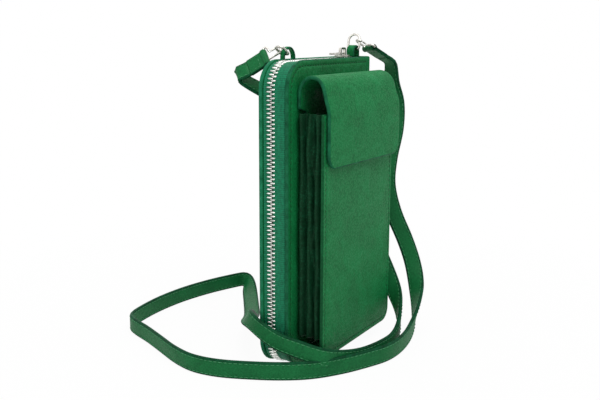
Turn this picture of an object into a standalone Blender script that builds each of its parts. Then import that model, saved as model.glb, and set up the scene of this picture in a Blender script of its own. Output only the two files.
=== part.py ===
"""A zip-around phone wallet standing on its short side, with its wrist and shoulder strap laid round it.

X runs from the zip side to the spine, Y from the front flap to the back cover, Z up.
The origin lies at the middle of the back cover's foot edge.
"""

import math

import bmesh
import bpy
import numpy as np
from mathutils import Matrix, Vector

MM = 0.001

# Wallet body
BODY_W = 112 * MM
BODY_H = 195 * MM
BODY_T = 21.4 * MM
COVER_T = 2.6 * MM
ZIP_CORNER_R = 18 * MM
SPINE_CORNER_R = 3 * MM
LEATHER_EDGE = 0.5 * MM
LINING_T = 0.8 * MM
LINING_INSET = 3.2 * MM
SPINE_T = 2.2 * MM
SPINE_ROUND = 3.4 * MM

# Gaps that touching pieces keep
GAP = 0.3 * MM
FOLD_GAP = 0.3 * MM

# Zip: its chain lies nearer the back cover than the front one
CHAIN_DEPTH = 8.3 * MM
TAPE_INSET = 1.2 * MM
TAPE_T = 1.0 * MM
TOOTH_PITCH = 2.6 * MM
TOOTH_W = 0.95 * MM
TOOTH_REACH = 0.6 * MM
TOOTH_L = 3.6 * MM
TOOTH_H = 2.6 * MM
TOOTH_NOSE_H = 1.5 * MM
BEAD_W = 0.9 * MM
BEAD_H = 1.4 * MM
CHAIN_TO_SPINE = 12 * MM
TAIL_START_TO_SPINE = 26 * MM
TAIL_END_TO_SPINE = 10 * MM
STOP_L = 2.4 * MM
CORNER_STEPS = 7

# Slider and its pull
SLIDER_TO_SPINE = 18.7 * MM
SLIDER_L = 9.6 * MM
SLIDER_W = 8.6 * MM
SLIDER_NECK_W = 7.0 * MM
SLIDER_PLATE_T = 1.2 * MM
SLIDER_CLEAR = 0.35 * MM
FLANGE_T = 0.7 * MM
LIP_INSET = 0.25 * MM
CROWN_L = 7.4 * MM
CROWN_H = 5.0 * MM
CROWN_T = 1.3 * MM
CROWN_W = 2.0 * MM
CROWN_R = 1.7 * MM
PULL_L = 16 * MM
PULL_W = 4.5 * MM
PULL_END_W = 3.8 * MM
PULL_T = 1.3 * MM
PULL_EYE_BAR = 1.1 * MM
PULL_EYE_CLEAR = 0.4 * MM

# Card side and coin side, inside: their margins are measured from the covers' sides
CARD_T = 0.8 * MM
CARD_STEP = 14 * MM
CARD_COUNT = 3
CARD_EDGE = 7 * MM
CARD_ZIP_MARGIN = 17 * MM
COIN_ZIP_MARGIN = 23 * MM
COIN_END_MARGIN = 22.5 * MM
COIN_T = 1.2 * MM

# Phone pocket on the front cover
POCKET_W = 98 * MM
POCKET_D = 20.6 * MM
POCKET_T = 2.2 * MM
POCKET_FOOT = 9 * MM
POCKET_TOP = 163.6 * MM
POCKET_CORNER_R = 9 * MM
GUSSET_T = 1.0 * MM
GUSSET_FOOT = 22 * MM
GUSSET_PLEAT = 4.2 * MM
GUSSET_PLEATS = 3
GUSSET_INSET = 1.2 * MM
BASE_PANEL_T = 1.4 * MM
BASE_PANEL_W = 70 * MM

# Flap: its arch stands clear over the pocket's mouth, drawn in above it, and its front hangs over the pocket
FLAP_W = 93 * MM
FLAP_T = 2.2 * MM
FLAP_SEAT = 24 * MM
FLAP_RISE = 11 * MM
FLAP_SHOULDER = 5 * MM
FLAP_NECK_CLEAR = 0.8 * MM
FLAP_ARCH_R = 10.8 * MM
FLAP_DRAW_IN = 3 * MM
FLAP_HIP = 1.5 * MM
FLAP_FOLD_GAP = 0.6 * MM
FLAP_FOOT = 130 * MM
FLAP_STANDOFF = 0.4 * MM
FLAP_TWIST = 3.8 * MM
FLAP_CORNER_R = 9 * MM
FLAP_COLUMNS = 8
ARCH_STEPS = 7
SNAP_R = 7 * MM
SNAP_T = 1.0 * MM
SNAP_Z = 141 * MM

# Leather tabs on top and the metal rings in them
TAB_T = 1.4 * MM
LEFT_TAB_IN = 32 * MM
LEFT_TAB_SPAN = 14 * MM
LEFT_TAB_W = 3.4 * MM
RIGHT_TAB_IN = 5.7 * MM
RIGHT_TAB_SPAN = 9 * MM
RIGHT_TAB_W = 6 * MM
RIGHT_TAB_FORWARD = 1.5 * MM
TAB_TOP = 7.3 * MM
RING_WIRE = 1.7 * MM
RING_BEND = 1.3 * MM
LEFT_RING_H = 10.5 * MM
RIGHT_RING_H = 11.9 * MM
LEFT_RING_LEAN = -58
RIGHT_RING_LEAN = 14

# Spring hooks on the strap's ends: a narrow claw that widens to the bar that the strap goes round
HOOK_WIRE = 1.6 * MM
HOOK_L = 13.2 * MM
HOOK_PLAY = 0.55 * MM
CLAW_W = 6.8 * MM
CLAW_L = 7.6 * MM
EYE_CLEAR = 0.9 * MM
GATE_WIRE = 1.3 * MM
GATE_L = 4.2 * MM
LEFT_HOOK_WAY = (-0.28, 0.80, -0.53)
RIGHT_HOOK_WAY = (0.75, -0.45, -0.48)

# Strap, flat and stitched
STRAP_W = 12 * MM
STRAP_T = 2.5 * MM
STRAP_STEP = 15 * MM
STRAP_LEAD_SHARES = (0.0, 0.3, 0.6)
END_FOLD_L = 12 * MM

BACK_Y = COVER_T / 2
FRONT_Y = BACK_Y - BODY_T
CHAIN_Y = BACK_Y - CHAIN_DEPTH
SPINE_X = BODY_W / 2
ZIP_X = -BODY_W / 2
BACK_INNER_Y = BACK_Y - COVER_T
FRONT_INNER_Y = FRONT_Y + COVER_T
TAPE_Z = BODY_H - TAPE_INSET - TAPE_T / 2
CHAIN_START = SPINE_X - CHAIN_TO_SPINE
TAIL_START = SPINE_X - TAIL_START_TO_SPINE
TAIL_END = SPINE_X - TAIL_END_TO_SPINE
SLIDER_X = SPINE_X - SLIDER_TO_SPINE
POCKET_FACE_Y = FRONT_Y - POCKET_D
POCKET_INNER_Y = POCKET_FACE_Y + POCKET_T
LEFT_TAB_X = ZIP_X + LEFT_TAB_IN
LEFT_TAB_Y = BACK_Y - LEFT_TAB_W / 2
RIGHT_TAB_X = SPINE_X - RIGHT_TAB_IN
RIGHT_TAB_Y = CHAIN_Y - RIGHT_TAB_FORWARD
WELD = GAP / 300

# The strap's route: places of its centre line and, for each, the way that its width points
STRAP_ROUTE = [
    ((80.4, -25.3, 175.6), (0.00, -1.00, 0.00)),
    ((83.2, -28.0, 160.4), (0.40, -0.90, 0.00)),
    ((79.5, -29.7, 142.2), (0.65, -0.75, 0.00)),
    ((72.8, -28.5, 122.7), (0.60, -0.80, 0.00)),
    ((68.0, -29.3, 103.0), (0.60, -0.80, 0.00)),
    ((69.7, -34.1, 82.1), (0.58, -0.80, 0.00)),
    ((74.4, -41.4, 62.0), (0.55, -0.80, 0.10)),
    ((74.5, -48.2, 44.6), (0.50, -0.75, 0.30)),
    ((66.9, -54.8, 29.4), (0.30, -0.60, 0.60)),
    ((51.6, -61.1, 17.5), (0.10, -0.30, 0.90)),
    ((37.0, -64.2, 8.8), (0.00, 0.00, 1.00)),
    ((15.4, -67.0, 6.3), (0.00, 0.00, 1.00)),
    ((-5.7, -66.1, 6.2), (0.00, 0.00, 1.00)),
    ((-24.2, -59.1, 6.2), (0.00, 0.00, 1.00)),
    ((-41.5, -50.1, 6.2), (0.00, 0.00, 1.00)),
    ((-57.5, -38.1, 6.2), (0.00, 0.00, 1.00)),
    ((-68.9, -23.0, 6.2), (0.00, 0.00, 1.00)),
    ((-78.0, -4.8, 6.2), (0.00, 0.00, 1.00)),
    ((-84.8, 13.8, 6.2), (0.00, 0.00, 1.00)),
    ((-86.1, 32.0, 6.2), (0.00, 0.00, 1.00)),
    ((-80.7, 50.2, 6.2), (0.00, 0.00, 1.00)),
    ((-70.8, 70.4, 6.2), (0.00, 0.00, 1.00)),
    ((-60.9, 90.7, 6.2), (0.00, 0.00, 1.00)),
    ((-53.4, 108.4, 6.2), (0.00, 0.00, 1.00)),
    ((-46.3, 118.0, 6.2), (0.00, 0.00, 1.00)),
    ((-31.7, 122.6, 6.2), (0.00, 0.00, 1.00)),
    ((-6.0, 125.8, 6.2), (0.00, 0.00, 1.00)),
    ((22.7, 125.0, 6.2), (0.00, 0.00, 1.00)),
    ((51.2, 119.6, 6.2), (0.00, 0.00, 1.00)),
    ((75.2, 111.2, 6.3), (0.00, 0.00, 1.00)),
    ((82.2, 106.3, 6.6), (0.15, -0.15, 0.97)),
    ((76.8, 99.1, 5.6), (0.45, -0.45, 0.70)),
    ((62.6, 88.2, 3.0), (0.65, -0.70, 0.20)),
    ((42.8, 73.8, 1.8), (0.65, -0.75, 0.00)),
    ((21.1, 58.6, 2.4), (0.63, -0.76, 0.05)),
    ((-3.1, 43.9, 9.0), (0.50, -0.75, 0.20)),
    ((-31.5, 26.3, 21.1), (0.30, -0.60, 0.55)),
    ((-53.2, 11.5, 29.7), (0.05, -0.35, 0.90)),
    ((-61.7, -1.5, 28.1), (0.00, -0.10, 1.00)),
    ((-61.8, -15.3, 22.1), (0.00, 0.00, 1.00)),
    ((-59.6, -29.0, 18.8), (0.00, 0.00, 1.00)),
    ((-52.8, -42.4, 13.8), (0.00, 0.00, 1.00)),
    ((-40.0, -48.4, 9.5), (0.00, 0.00, 1.00)),
    ((-22.8, -54.4, 6.6), (0.00, 0.00, 1.00)),
    ((-3.1, -59.0, 6.2), (0.00, 0.00, 1.00)),
    ((15.8, -59.9, 6.8), (0.00, 0.00, 1.00)),
    ((31.2, -57.3, 12.2), (0.05, 0.00, 1.00)),
    ((45.6, -50.0, 21.2), (0.20, -0.10, 0.90)),
    ((55.3, -39.7, 34.0), (0.35, -0.30, 0.60)),
    ((61.5, -27.7, 50.7), (0.40, -0.45, 0.50)),
    ((64.1, -15.8, 70.1), (0.30, -0.40, 0.50)),
    ((64.7, -4.8, 92.2), (0.10, -0.40, 0.50)),
    ((61.7, 4.1, 113.9), (-0.10, -0.30, 0.60)),
    ((49.9, 7.4, 135.2), (0.30, 0.00, 0.80)),
    ((29.4, 7.6, 152.5), (0.50, 0.00, 0.80)),
    ((5.1, 8.5, 164.8), (0.50, 0.00, 0.80)),
    ((-17.1, 11.3, 169.4), (0.50, 0.30, 0.75)),
]


def clear_scene():
    for obj in list(bpy.data.objects):
        bpy.data.objects.remove(obj, do_unlink=True)
    for group in list(bpy.data.collections):
        bpy.data.collections.remove(group)


def new_collection(name):
    group = bpy.data.collections.new(name)
    bpy.context.scene.collection.children.link(group)
    return group


def linear(share):
    return share / 12.92 if share <= 0.04045 else ((share + 0.055) / 1.055) ** 2.4


def material(name, hex_colour, roughness, metallic=0.0):
    made = bpy.data.materials.new(name)
    made.use_nodes = True
    shader = made.node_tree.nodes["Principled BSDF"]
    channels = [linear(int(hex_colour[i : i + 2], 16) / 255) for i in (1, 3, 5)]
    shader.inputs["Base Color"].default_value = (*channels, 1.0)
    shader.inputs["Roughness"].default_value = roughness
    shader.inputs["Metallic"].default_value = metallic
    made.diffuse_color = (*channels, 1.0)
    return made


def add_mesh(name, mesh, look, parent=None, matrix=None):
    obj = bpy.data.objects.new(name, mesh)
    PARTS.objects.link(obj)
    mesh.materials.clear()
    mesh.materials.append(look)
    if matrix is not None:
        obj.matrix_world = matrix
    if parent is not None:
        obj.parent = parent
        obj.matrix_parent_inverse = parent.matrix_world.inverted()
    return obj


def empty(name, place, parent=None):
    obj = bpy.data.objects.new(name, None)
    PARTS.objects.link(obj)
    obj.location = place
    bpy.context.view_layer.update()
    if parent is not None:
        obj.parent = parent
        obj.matrix_parent_inverse = parent.matrix_world.inverted()
        bpy.context.view_layer.update()
    return obj


def mesh_of_curve(curve, matrix):
    """The curve as a mesh with its caps welded, in world places."""
    holder = bpy.data.objects.new("holder", curve)
    bpy.context.scene.collection.objects.link(holder)
    holder.matrix_world = matrix
    bpy.context.view_layer.update()
    evaluated = holder.evaluated_get(bpy.context.evaluated_depsgraph_get())
    mesh = bpy.data.meshes.new_from_object(evaluated)
    mesh.transform(matrix)
    work = bmesh.new()
    work.from_mesh(mesh)
    bmesh.ops.remove_doubles(work, verts=work.verts, dist=WELD)
    bmesh.ops.recalc_face_normals(work, faces=work.faces)
    work.to_mesh(mesh)
    work.free()
    bpy.data.objects.remove(holder, do_unlink=True)
    return mesh


def spline(curve, points, cyclic):
    line = curve.splines.new("POLY")
    line.points.add(len(points) - 1)
    for slot, point in zip(line.points, points):
        slot.co = (*point, 1.0)
    line.use_cyclic_u = cyclic


def slab(outlines, thickness, matrix):
    """A flat outline, holes as further outlines, with half its thickness on each side of its plane.

    It is filled in millimetres and then made small, because tiny outlines fill badly.
    """
    curve = bpy.data.curves.new("slab", "CURVE")
    curve.dimensions = "2D"
    curve.fill_mode = "BOTH"
    curve.extrude = thickness / 2 / MM
    for outline in outlines:
        spline(curve, [(a / MM, b / MM, 0.0) for a, b in outline], True)
    return mesh_of_curve(curve, matrix @ Matrix.Scale(MM, 4))


def wire(points, diameter, cyclic=False, sides=2):
    """A round wire through the points, its ends capped."""
    curve = bpy.data.curves.new("wire", "CURVE")
    curve.dimensions = "3D"
    curve.bevel_depth = diameter / 2
    curve.bevel_resolution = sides
    curve.use_fill_caps = True
    spline(curve, points, cyclic)
    return mesh_of_curve(curve, Matrix())


def upright(y):
    """Turns an outline's plane to face along Y: its second axis becomes Z."""
    return Matrix.Translation((0, y, 0)) @ Matrix.Rotation(math.radians(90), 4, "X")


def level(z):
    return Matrix.Translation((0, 0, z))


def arc(centre, radius, start, end, steps=CORNER_STEPS):
    """Points of an arc, angles in degrees."""
    angles = np.radians(np.linspace(start, end, steps + 1))
    return [(centre[0] + radius * math.cos(a), centre[1] + radius * math.sin(a)) for a in angles]


def rounded_box(left, right, low, high, radii):
    """A rectangle with a radius for each corner: lower left, lower right, upper right, upper left."""
    corners = (
        (left, low, 1, 1, 180, radii[0]),
        (right, low, -1, 1, 270, radii[1]),
        (right, high, -1, -1, 0, radii[2]),
        (left, high, 1, -1, 90, radii[3]),
    )
    points = []
    for x, y, dx, dy, start, radius in corners:
        if radius > 0:
            points += arc((x + dx * radius, y + dy * radius), radius, start, start + 90)
        else:
            points.append((x, y))
    return points


def wallet_outline(inset, right):
    """The covers' outline, moved inwards by inset, up to the given right side."""
    big = max(ZIP_CORNER_R - inset, GAP)
    small = max(SPINE_CORNER_R - inset, GAP)
    return rounded_box(ZIP_X + inset, right, inset, BODY_H - inset, (big, small, small, big))


def ease_edges(obj, width):
    bevel = obj.modifiers.new("eased edges", "BEVEL")
    bevel.width = width
    bevel.segments = 1
    bevel.limit_method = "ANGLE"
    bevel.angle_limit = math.radians(50)


def sheet(rows, thickness):
    """An open surface from rows of places, given its thickness on both sides of it."""
    work = bmesh.new()
    grid = [[work.verts.new(place) for place in row] for row in rows]
    for above, below in zip(grid, grid[1:]):
        for i in range(len(above) - 1):
            work.faces.new((above[i], above[i + 1], below[i + 1], below[i]))
    mesh = bpy.data.meshes.new("sheet")
    work.to_mesh(mesh)
    work.free()
    holder = bpy.data.objects.new("holder", mesh)
    bpy.context.scene.collection.objects.link(holder)
    thick = holder.modifiers.new("thickness", "SOLIDIFY")
    thick.thickness = thickness
    thick.offset = 0.0
    thick.use_even_offset = True
    bpy.context.view_layer.update()
    evaluated = holder.evaluated_get(bpy.context.evaluated_depsgraph_get())
    solid = bpy.data.meshes.new_from_object(evaluated)
    bpy.data.objects.remove(holder, do_unlink=True)
    return solid


def joined(meshes):
    """One mesh that holds all the given ones, still apart."""
    work = bmesh.new()
    for mesh in meshes:
        work.from_mesh(mesh)
    made = bpy.data.meshes.new("joined")
    work.to_mesh(made)
    work.free()
    return made


def fused(name, base, others, look, parent=None):
    """The base and the other meshes as one solid."""
    obj = add_mesh(name, base, look, parent)
    helper = bpy.data.objects.new(name + "_joined", joined(others))
    HELPERS.objects.link(helper)
    helper.hide_render = True
    helper.display_type = "WIRE"
    union = obj.modifiers.new("join", "BOOLEAN")
    union.operation = "UNION"
    union.solver = "EXACT"
    union.use_self = False
    union.object = helper
    return obj


class ZipPath:
    """The zip's U: from the spine's foot, along the foot, up the zip side and along the top."""

    def __init__(self, inset):
        self.left = ZIP_X + inset
        self.low = inset
        self.high = BODY_H - inset
        self.radius = ZIP_CORNER_R - inset
        self.turn = self.radius * math.pi / 2
        self.foot_run = CHAIN_START - (self.left + self.radius)
        self.side_run = self.high - self.low - 2 * self.radius

    def length(self, end_x):
        return self.foot_run + 2 * self.turn + self.side_run + end_x - (self.left + self.radius)

    def at(self, s):
        """(x, z, angle of travel) at the distance s from the start."""
        if s < self.foot_run:
            return CHAIN_START - s, self.low, math.pi
        s -= self.foot_run
        if s < self.turn:
            a = s / self.radius
            x = self.left + self.radius - self.radius * math.sin(a)
            return x, self.low + self.radius - self.radius * math.cos(a), math.pi - a
        s -= self.turn
        if s < self.side_run:
            return self.left, self.low + self.radius + s, math.pi / 2
        s -= self.side_run
        if s < self.turn:
            a = s / self.radius
            x = self.left + self.radius - self.radius * math.cos(a)
            return x, self.high - self.radius + self.radius * math.sin(a), math.pi / 2 - a
        s -= self.turn
        return self.left + self.radius + s, self.high, 0.0


def band(depth, thickness, end_x, start_x=CHAIN_START):
    """The zip's U as a thin closed outline: depth is how far its outer side lies inside the covers."""
    lines = []
    for inset in (depth, depth + thickness):
        left, radius = ZIP_X + inset, ZIP_CORNER_R - inset
        low, high = inset, BODY_H - inset
        line = [(start_x, low)]
        line += arc((left + radius, low + radius), radius, 270, 180)
        line += arc((left + radius, high - radius), radius, 180, 90)
        line.append((end_x, high))
        lines.append(line)
    return lines[0] + lines[1][::-1]


def between(y_one, y_two, outline):
    """The outline made solid from one Y to the other."""
    return slab([outline], abs(y_two - y_one), upright((y_one + y_two) / 2))


def tooth_places(last_s, side):
    """Distances along the path of one side's teeth, half a pitch on from the other side's."""
    start = TOOTH_PITCH / 2 + (TOOTH_PITCH / 2 if side < 0 else 0)
    count = int((last_s - TOOTH_W - start) / TOOTH_PITCH) + 1
    return [start + i * TOOTH_PITCH for i in range(count)]


def make_comb(name, side, start_s, end_s, look, parent=None):
    """One side's teeth with the bead that their legs grip, as one body.

    The bead is thick at each tooth and thin halfway to the next, and each nose reaches
    past the chain's middle line.
    """
    path = ZipPath(TAPE_INSET + TAPE_T / 2)
    work = bmesh.new()
    root = TOOTH_L - TOOTH_REACH

    def pair(s, y, height):
        x, z, angle = path.at(s)
        outward = Vector((-math.sin(angle), 0, math.cos(angle)))
        middle = Vector((x, CHAIN_Y + side * y, z))
        return [work.verts.new(middle + outward * half) for half in (height / 2, -height / 2)]

    def ring(s, height):
        inner, outer = pair(s, root - BEAD_W, height), pair(s, root, height)
        return [inner[0], inner[1], outer[1], outer[0]]

    last = ring(start_s, BEAD_H)
    work.faces.new(last)
    places = [s for s in tooth_places(end_s, side) if s - TOOTH_W / 2 > start_s]
    for s in places:
        near, far = ring(s - TOOTH_W / 2, TOOTH_H), ring(s + TOOTH_W / 2, TOOTH_H)
        nose_near = pair(s - TOOTH_W / 2, -TOOTH_REACH, TOOTH_NOSE_H)
        nose_far = pair(s + TOOTH_W / 2, -TOOTH_REACH, TOOTH_NOSE_H)
        thin = ring(end_s if s == places[-1] else s + TOOTH_PITCH / 2, BEAD_H)
        for one, two, sides in ((last, near, range(4)), (near, far, (1, 2, 3)), (far, thin, range(4))):
            for i in sides:
                j = (i + 1) % 4
                work.faces.new((one[i], one[j], two[j], two[i]))
        work.faces.new((near[0], far[0], nose_far[0], nose_near[0]))
        work.faces.new((near[1], far[1], nose_far[1], nose_near[1]))
        work.faces.new((near[0], near[1], nose_near[1], nose_near[0]))
        work.faces.new((far[0], far[1], nose_far[1], nose_far[0]))
        work.faces.new((nose_near[0], nose_near[1], nose_far[1], nose_far[0]))
        last = thin
    work.faces.new(last[::-1])
    bmesh.ops.recalc_face_normals(work, faces=work.faces)
    mesh = bpy.data.meshes.new(name)
    work.to_mesh(mesh)
    work.free()
    return add_mesh(name, mesh, look, parent)


def make_chain():
    """The two sides' combs, and the front's last stretch, which the back keeps for the slider to park on."""
    path = ZipPath(TAPE_INSET + TAPE_T / 2)
    make_comb("zip_chain_back", 1, 0.0, path.length(TAIL_END), NICKEL)
    make_comb("zip_chain_front", -1, 0.0, path.length(TAIL_START - GAP), NICKEL, FRONT_HINGE)
    make_comb("zip_tail_chain", -1, path.length(TAIL_START + GAP), path.length(TAIL_END), NICKEL)


def make_covers():
    right = SPINE_X - SPINE_ROUND - GAP
    back = slab([wallet_outline(0.0, right)], COVER_T, upright(BACK_Y - COVER_T / 2))
    ease_edges(add_mesh("back_cover", back, LEATHER), LEATHER_EDGE)
    front = slab([wallet_outline(0.0, right)], COVER_T, upright(FRONT_Y + COVER_T / 2))
    ease_edges(add_mesh("front_cover", front, LEATHER, FRONT_HINGE), LEATHER_EDGE)
    inner = SPINE_X - SPINE_T - 2 * GAP
    lining = wallet_outline(LINING_INSET, inner)
    add_mesh("back_lining", slab([lining], LINING_T, upright(BACK_INNER_Y - GAP - LINING_T / 2)), CLOTH)
    spot = upright(FRONT_INNER_Y + GAP + LINING_T / 2)
    add_mesh("front_lining", slab([lining], LINING_T, spot), CLOTH, FRONT_HINGE)


def spine_outline(outer_y, side):
    """Half of the spine seen from above: round where it meets the cover, flat at the fold."""
    fold = CHAIN_Y + side * FOLD_GAP / 2
    centre = (SPINE_X - SPINE_ROUND, outer_y - side * SPINE_ROUND)
    turned = (90, 0) if side > 0 else (270, 360)
    outer = arc(centre, SPINE_ROUND, *turned)
    inner = arc(centre, SPINE_ROUND - SPINE_T, *turned)
    return outer + [(SPINE_X, fold), (SPINE_X - SPINE_T, fold)] + inner[::-1]


def make_spine():
    for name, outer_y, side, parent in (
        ("spine_back", BACK_Y, 1, None),
        ("spine_front", FRONT_Y, -1, FRONT_HINGE),
    ):
        body = slab([spine_outline(outer_y, side)], BODY_H, level(BODY_H / 2))
        ease_edges(add_mesh(name, body, LEATHER, parent), LEATHER_EDGE)


def make_zip():
    reach = TOOTH_L - TOOTH_REACH
    back_edge = CHAIN_Y + reach + GAP
    front_edge = CHAIN_Y - reach - GAP
    back_tape = between(back_edge, BACK_INNER_Y - GAP, band(TAPE_INSET, TAPE_T, TAIL_END))
    add_mesh("zip_tape_back", back_tape, TAPE)
    front_tape = between(front_edge, FRONT_INNER_Y + GAP, band(TAPE_INSET, TAPE_T, TAIL_START - GAP))
    add_mesh("zip_tape_front", front_tape, TAPE, FRONT_HINGE)
    make_chain()
    top = BODY_H - TAPE_INSET
    tail = rounded_box(TAIL_START + GAP, TAIL_END, top - TAPE_T, top, (0, 0, 0, 0))
    add_mesh("zip_tail_tape", between(front_edge, FRONT_Y + 2 * COVER_T, tail), TAPE)
    low = TAPE_Z - TOOTH_H / 2
    stop = rounded_box(TAIL_END + GAP, TAIL_END + GAP + STOP_L, low, low + TOOTH_H, (0, 0, 0, 0))
    ease_edges(add_mesh("zip_stop", between(CHAIN_Y - reach, CHAIN_Y + reach, stop), NICKEL), GAP)


def make_slider():
    """Two shield-shaped plates over and under the chain, with lips along their sides."""
    half_l, half_w, neck = SLIDER_L / 2, SLIDER_W / 2, SLIDER_NECK_W / 2
    shield = [
        (-half_l, -neck),
        (0, -half_w),
        (half_l - neck / 2, -half_w),
        (half_l, -neck / 2),
        (half_l, neck / 2),
        (half_l - neck / 2, half_w),
        (0, half_w),
        (-half_l, neck),
    ]
    for name, side in (("zip_slider_top", 1), ("zip_slider_foot", -1)):
        near = TAPE_Z + side * (TOOTH_H / 2 + SLIDER_CLEAR)
        plate_z = near + side * SLIDER_PLATE_T / 2
        spot = Matrix.Translation((SLIDER_X, CHAIN_Y, plate_z))
        plate = slab([shield], SLIDER_PLATE_T, spot)
        lip_low = TAPE_Z + side * (TAPE_T / 2 + SLIDER_CLEAR)
        lip_high = plate_z
        lips = []
        for flank in (-1, 1):
            middle = flank * (half_w - LIP_INSET - FLANGE_T / 2)
            sides = (middle - FLANGE_T / 2, middle + FLANGE_T / 2)
            lip = rounded_box(LIP_INSET, half_l - neck / 2 - LIP_INSET, *sides, (0, 0, 0, 0))
            place = Matrix.Translation((SLIDER_X, CHAIN_Y, (lip_low + lip_high) / 2))
            lips.append(slab([lip], abs(lip_high - lip_low), place))
        if side > 0:
            lips.append(crown(near + SLIDER_PLATE_T))
        fused(name, plate, lips, NICKEL, SLIDER)


def crown(top_z):
    """The bridge that carries the pull: an arch along X with a window under it."""
    left, right = SLIDER_X - CROWN_L / 2, SLIDER_X + CROWN_L / 2
    low, high = top_z - SLIDER_PLATE_T / 2, top_z + CROWN_H
    outer = [(left, low), (right, low)]
    outer += arc((right - CROWN_R, high - CROWN_R), CROWN_R, 0, 90, 3)
    outer += arc((left + CROWN_R, high - CROWN_R), CROWN_R, 90, 180, 3)
    window = rounded_box(
        left + CROWN_T, right - CROWN_T, top_z - GAP, high - CROWN_T, (0, 0, 0, 0)
    )
    return slab([outer, window], CROWN_W, upright(CHAIN_Y))


def pull_axis():
    """Place of the pull's pivot: its eye bar lies in the crown's window, against the left leg."""
    top_z = TAPE_Z + TOOTH_H / 2 + SLIDER_CLEAR + SLIDER_PLATE_T
    x = SLIDER_X - CROWN_L / 2 + CROWN_T + GAP + PULL_EYE_BAR / 2
    return Vector((x, CHAIN_Y, top_z + GAP + PULL_T / 2))


def make_pull():
    """A flat tongue with an eye round the crown's left leg, long enough to turn up over the crown."""
    pivot = pull_axis()
    leg_far = CROWN_T + GAP + PULL_EYE_BAR / 2
    clear_r = math.hypot(leg_far, CROWN_H) + PULL_EYE_CLEAR
    side_in = CROWN_W / 2 + PULL_EYE_CLEAR
    half, tip = PULL_W / 2, PULL_END_W / 2
    right = PULL_EYE_BAR / 2
    left = right - PULL_L
    outer = [(right, -half), (right, half), (-clear_r, half)]
    outer += arc((left + tip, 0), tip, 90, 270)
    outer += [(-clear_r, -half)]
    hole = rounded_box(-clear_r, -PULL_EYE_BAR / 2, -side_in, side_in, (0, 0, 0, 0))
    mesh = slab([outer, hole], PULL_T, Matrix.Translation(pivot))
    ease_edges(add_mesh("zip_pull", mesh, NICKEL, PULL), GAP / 2)


def make_inside():
    """Card panels in steps on the back's lining, and the coin pocket's panel on the front's."""
    right = SPINE_X - SPINE_T - CARD_EDGE
    low, high = LINING_INSET + CARD_EDGE, BODY_H - LINING_INSET - CARD_EDGE
    y = BACK_INNER_Y - 2 * GAP - LINING_T
    for i in range(CARD_COUNT):
        left = ZIP_X + CARD_ZIP_MARGIN + i * CARD_STEP
        panel = rounded_box(left, right, low, high, (0, 0, 0, 0))
        mesh = slab([panel], CARD_T, upright(y - CARD_T / 2))
        add_mesh(f"card_panel_{i + 1}", mesh, LINING_LEATHER)
        y -= CARD_T + GAP
    foot, top = COIN_END_MARGIN, BODY_H - COIN_END_MARGIN
    coin = rounded_box(ZIP_X + COIN_ZIP_MARGIN, right, foot, top, (GAP,) * 4)
    spot = FRONT_INNER_Y + 2 * GAP + LINING_T + COIN_T / 2
    add_mesh("coin_panel", slab([coin], COIN_T, upright(spot)), LINING_LEATHER, FRONT_HINGE)


def pleats(side):
    """The gusset seen from above: from the cover to the pocket's front, folded like a bellows."""
    out = POCKET_W / 2 - GUSSET_INSET
    inside = out - GUSSET_PLEAT
    depth = (FRONT_Y - GAP) - (POCKET_INNER_Y + GAP) - GUSSET_T
    start = FRONT_Y - GAP - GUSSET_T / 2
    count = 2 * GUSSET_PLEATS
    points = [(side * (inside - GUSSET_PLEAT), start)]
    for i in range(count + 1):
        x = inside if i % 2 == 0 else out
        points.append((side * x, start - depth * i / count))
    points.append((side * (inside - GUSSET_PLEAT), start - depth))
    return points


def make_pocket():
    half = POCKET_W / 2
    radius = POCKET_CORNER_R
    outline = rounded_box(-half, half, POCKET_FOOT, POCKET_TOP, (radius, radius, GAP, GAP))
    face = slab([outline], POCKET_T, upright(POCKET_FACE_Y + POCKET_T / 2))
    ease_edges(add_mesh("pocket_front", face, LEATHER, FRONT_HINGE), LEATHER_EDGE)
    for name, side in (("gusset_left", -1), ("gusset_right", 1)):
        rows = []
        for z in (GUSSET_FOOT, POCKET_TOP - GAP):
            rows.append([(x, y, z) for x, y in pleats(side)])
        add_mesh(name, sheet(rows, GUSSET_T), GUSSET, FRONT_HINGE)
    low = POCKET_FOOT + BASE_PANEL_T / 2
    floor = rounded_box(
        -BASE_PANEL_W / 2, BASE_PANEL_W / 2, POCKET_INNER_Y + GAP, FRONT_Y - GAP, (0, 0, 0, 0)
    )
    add_mesh("pocket_base", slab([floor], BASE_PANEL_T, level(low)), LEATHER, FRONT_HINGE)
    disc = arc((0, SNAP_Z), SNAP_R, 0, 345, 23)
    spot = POCKET_INNER_Y + GAP + SNAP_T / 2
    add_mesh("snap_plate", slab([disc], SNAP_T, upright(spot)), NICKEL, FRONT_HINGE)


def flap_profile():
    """The middle of the flap's thickness from its seam to its lower edge, as (y, z), and the fold's index."""
    seam_y = FRONT_Y - GAP - FLAP_T / 2
    arch_z = POCKET_TOP + FLAP_RISE
    front_y = POCKET_FACE_Y - FLAP_STANDOFF - FLAP_T / 2
    span = seam_y - front_y - FLAP_DRAW_IN
    points = [
        (seam_y, POCKET_TOP - FLAP_SEAT),
        (seam_y, POCKET_TOP + GAP),
        (seam_y, POCKET_TOP + FLAP_SHOULDER),
    ]
    for angle in np.radians(np.linspace(0, 180, 2 * ARCH_STEPS + 1)):
        y = seam_y - span / 2 + span / 2 * math.cos(angle)
        points.append((y, arch_z + FLAP_ARCH_R * math.sin(angle)))
    fold = 3 + ARCH_STEPS
    middle = (POCKET_TOP + FLAP_FOOT) / 2
    points += [(front_y, POCKET_TOP + FLAP_HIP), (front_y, middle)]
    corner = np.radians(np.linspace(0, 90, 5))
    for angle in corner:
        points.append((front_y, FLAP_FOOT + FLAP_CORNER_R * (1 - math.sin(angle))))
    return points, fold


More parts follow.
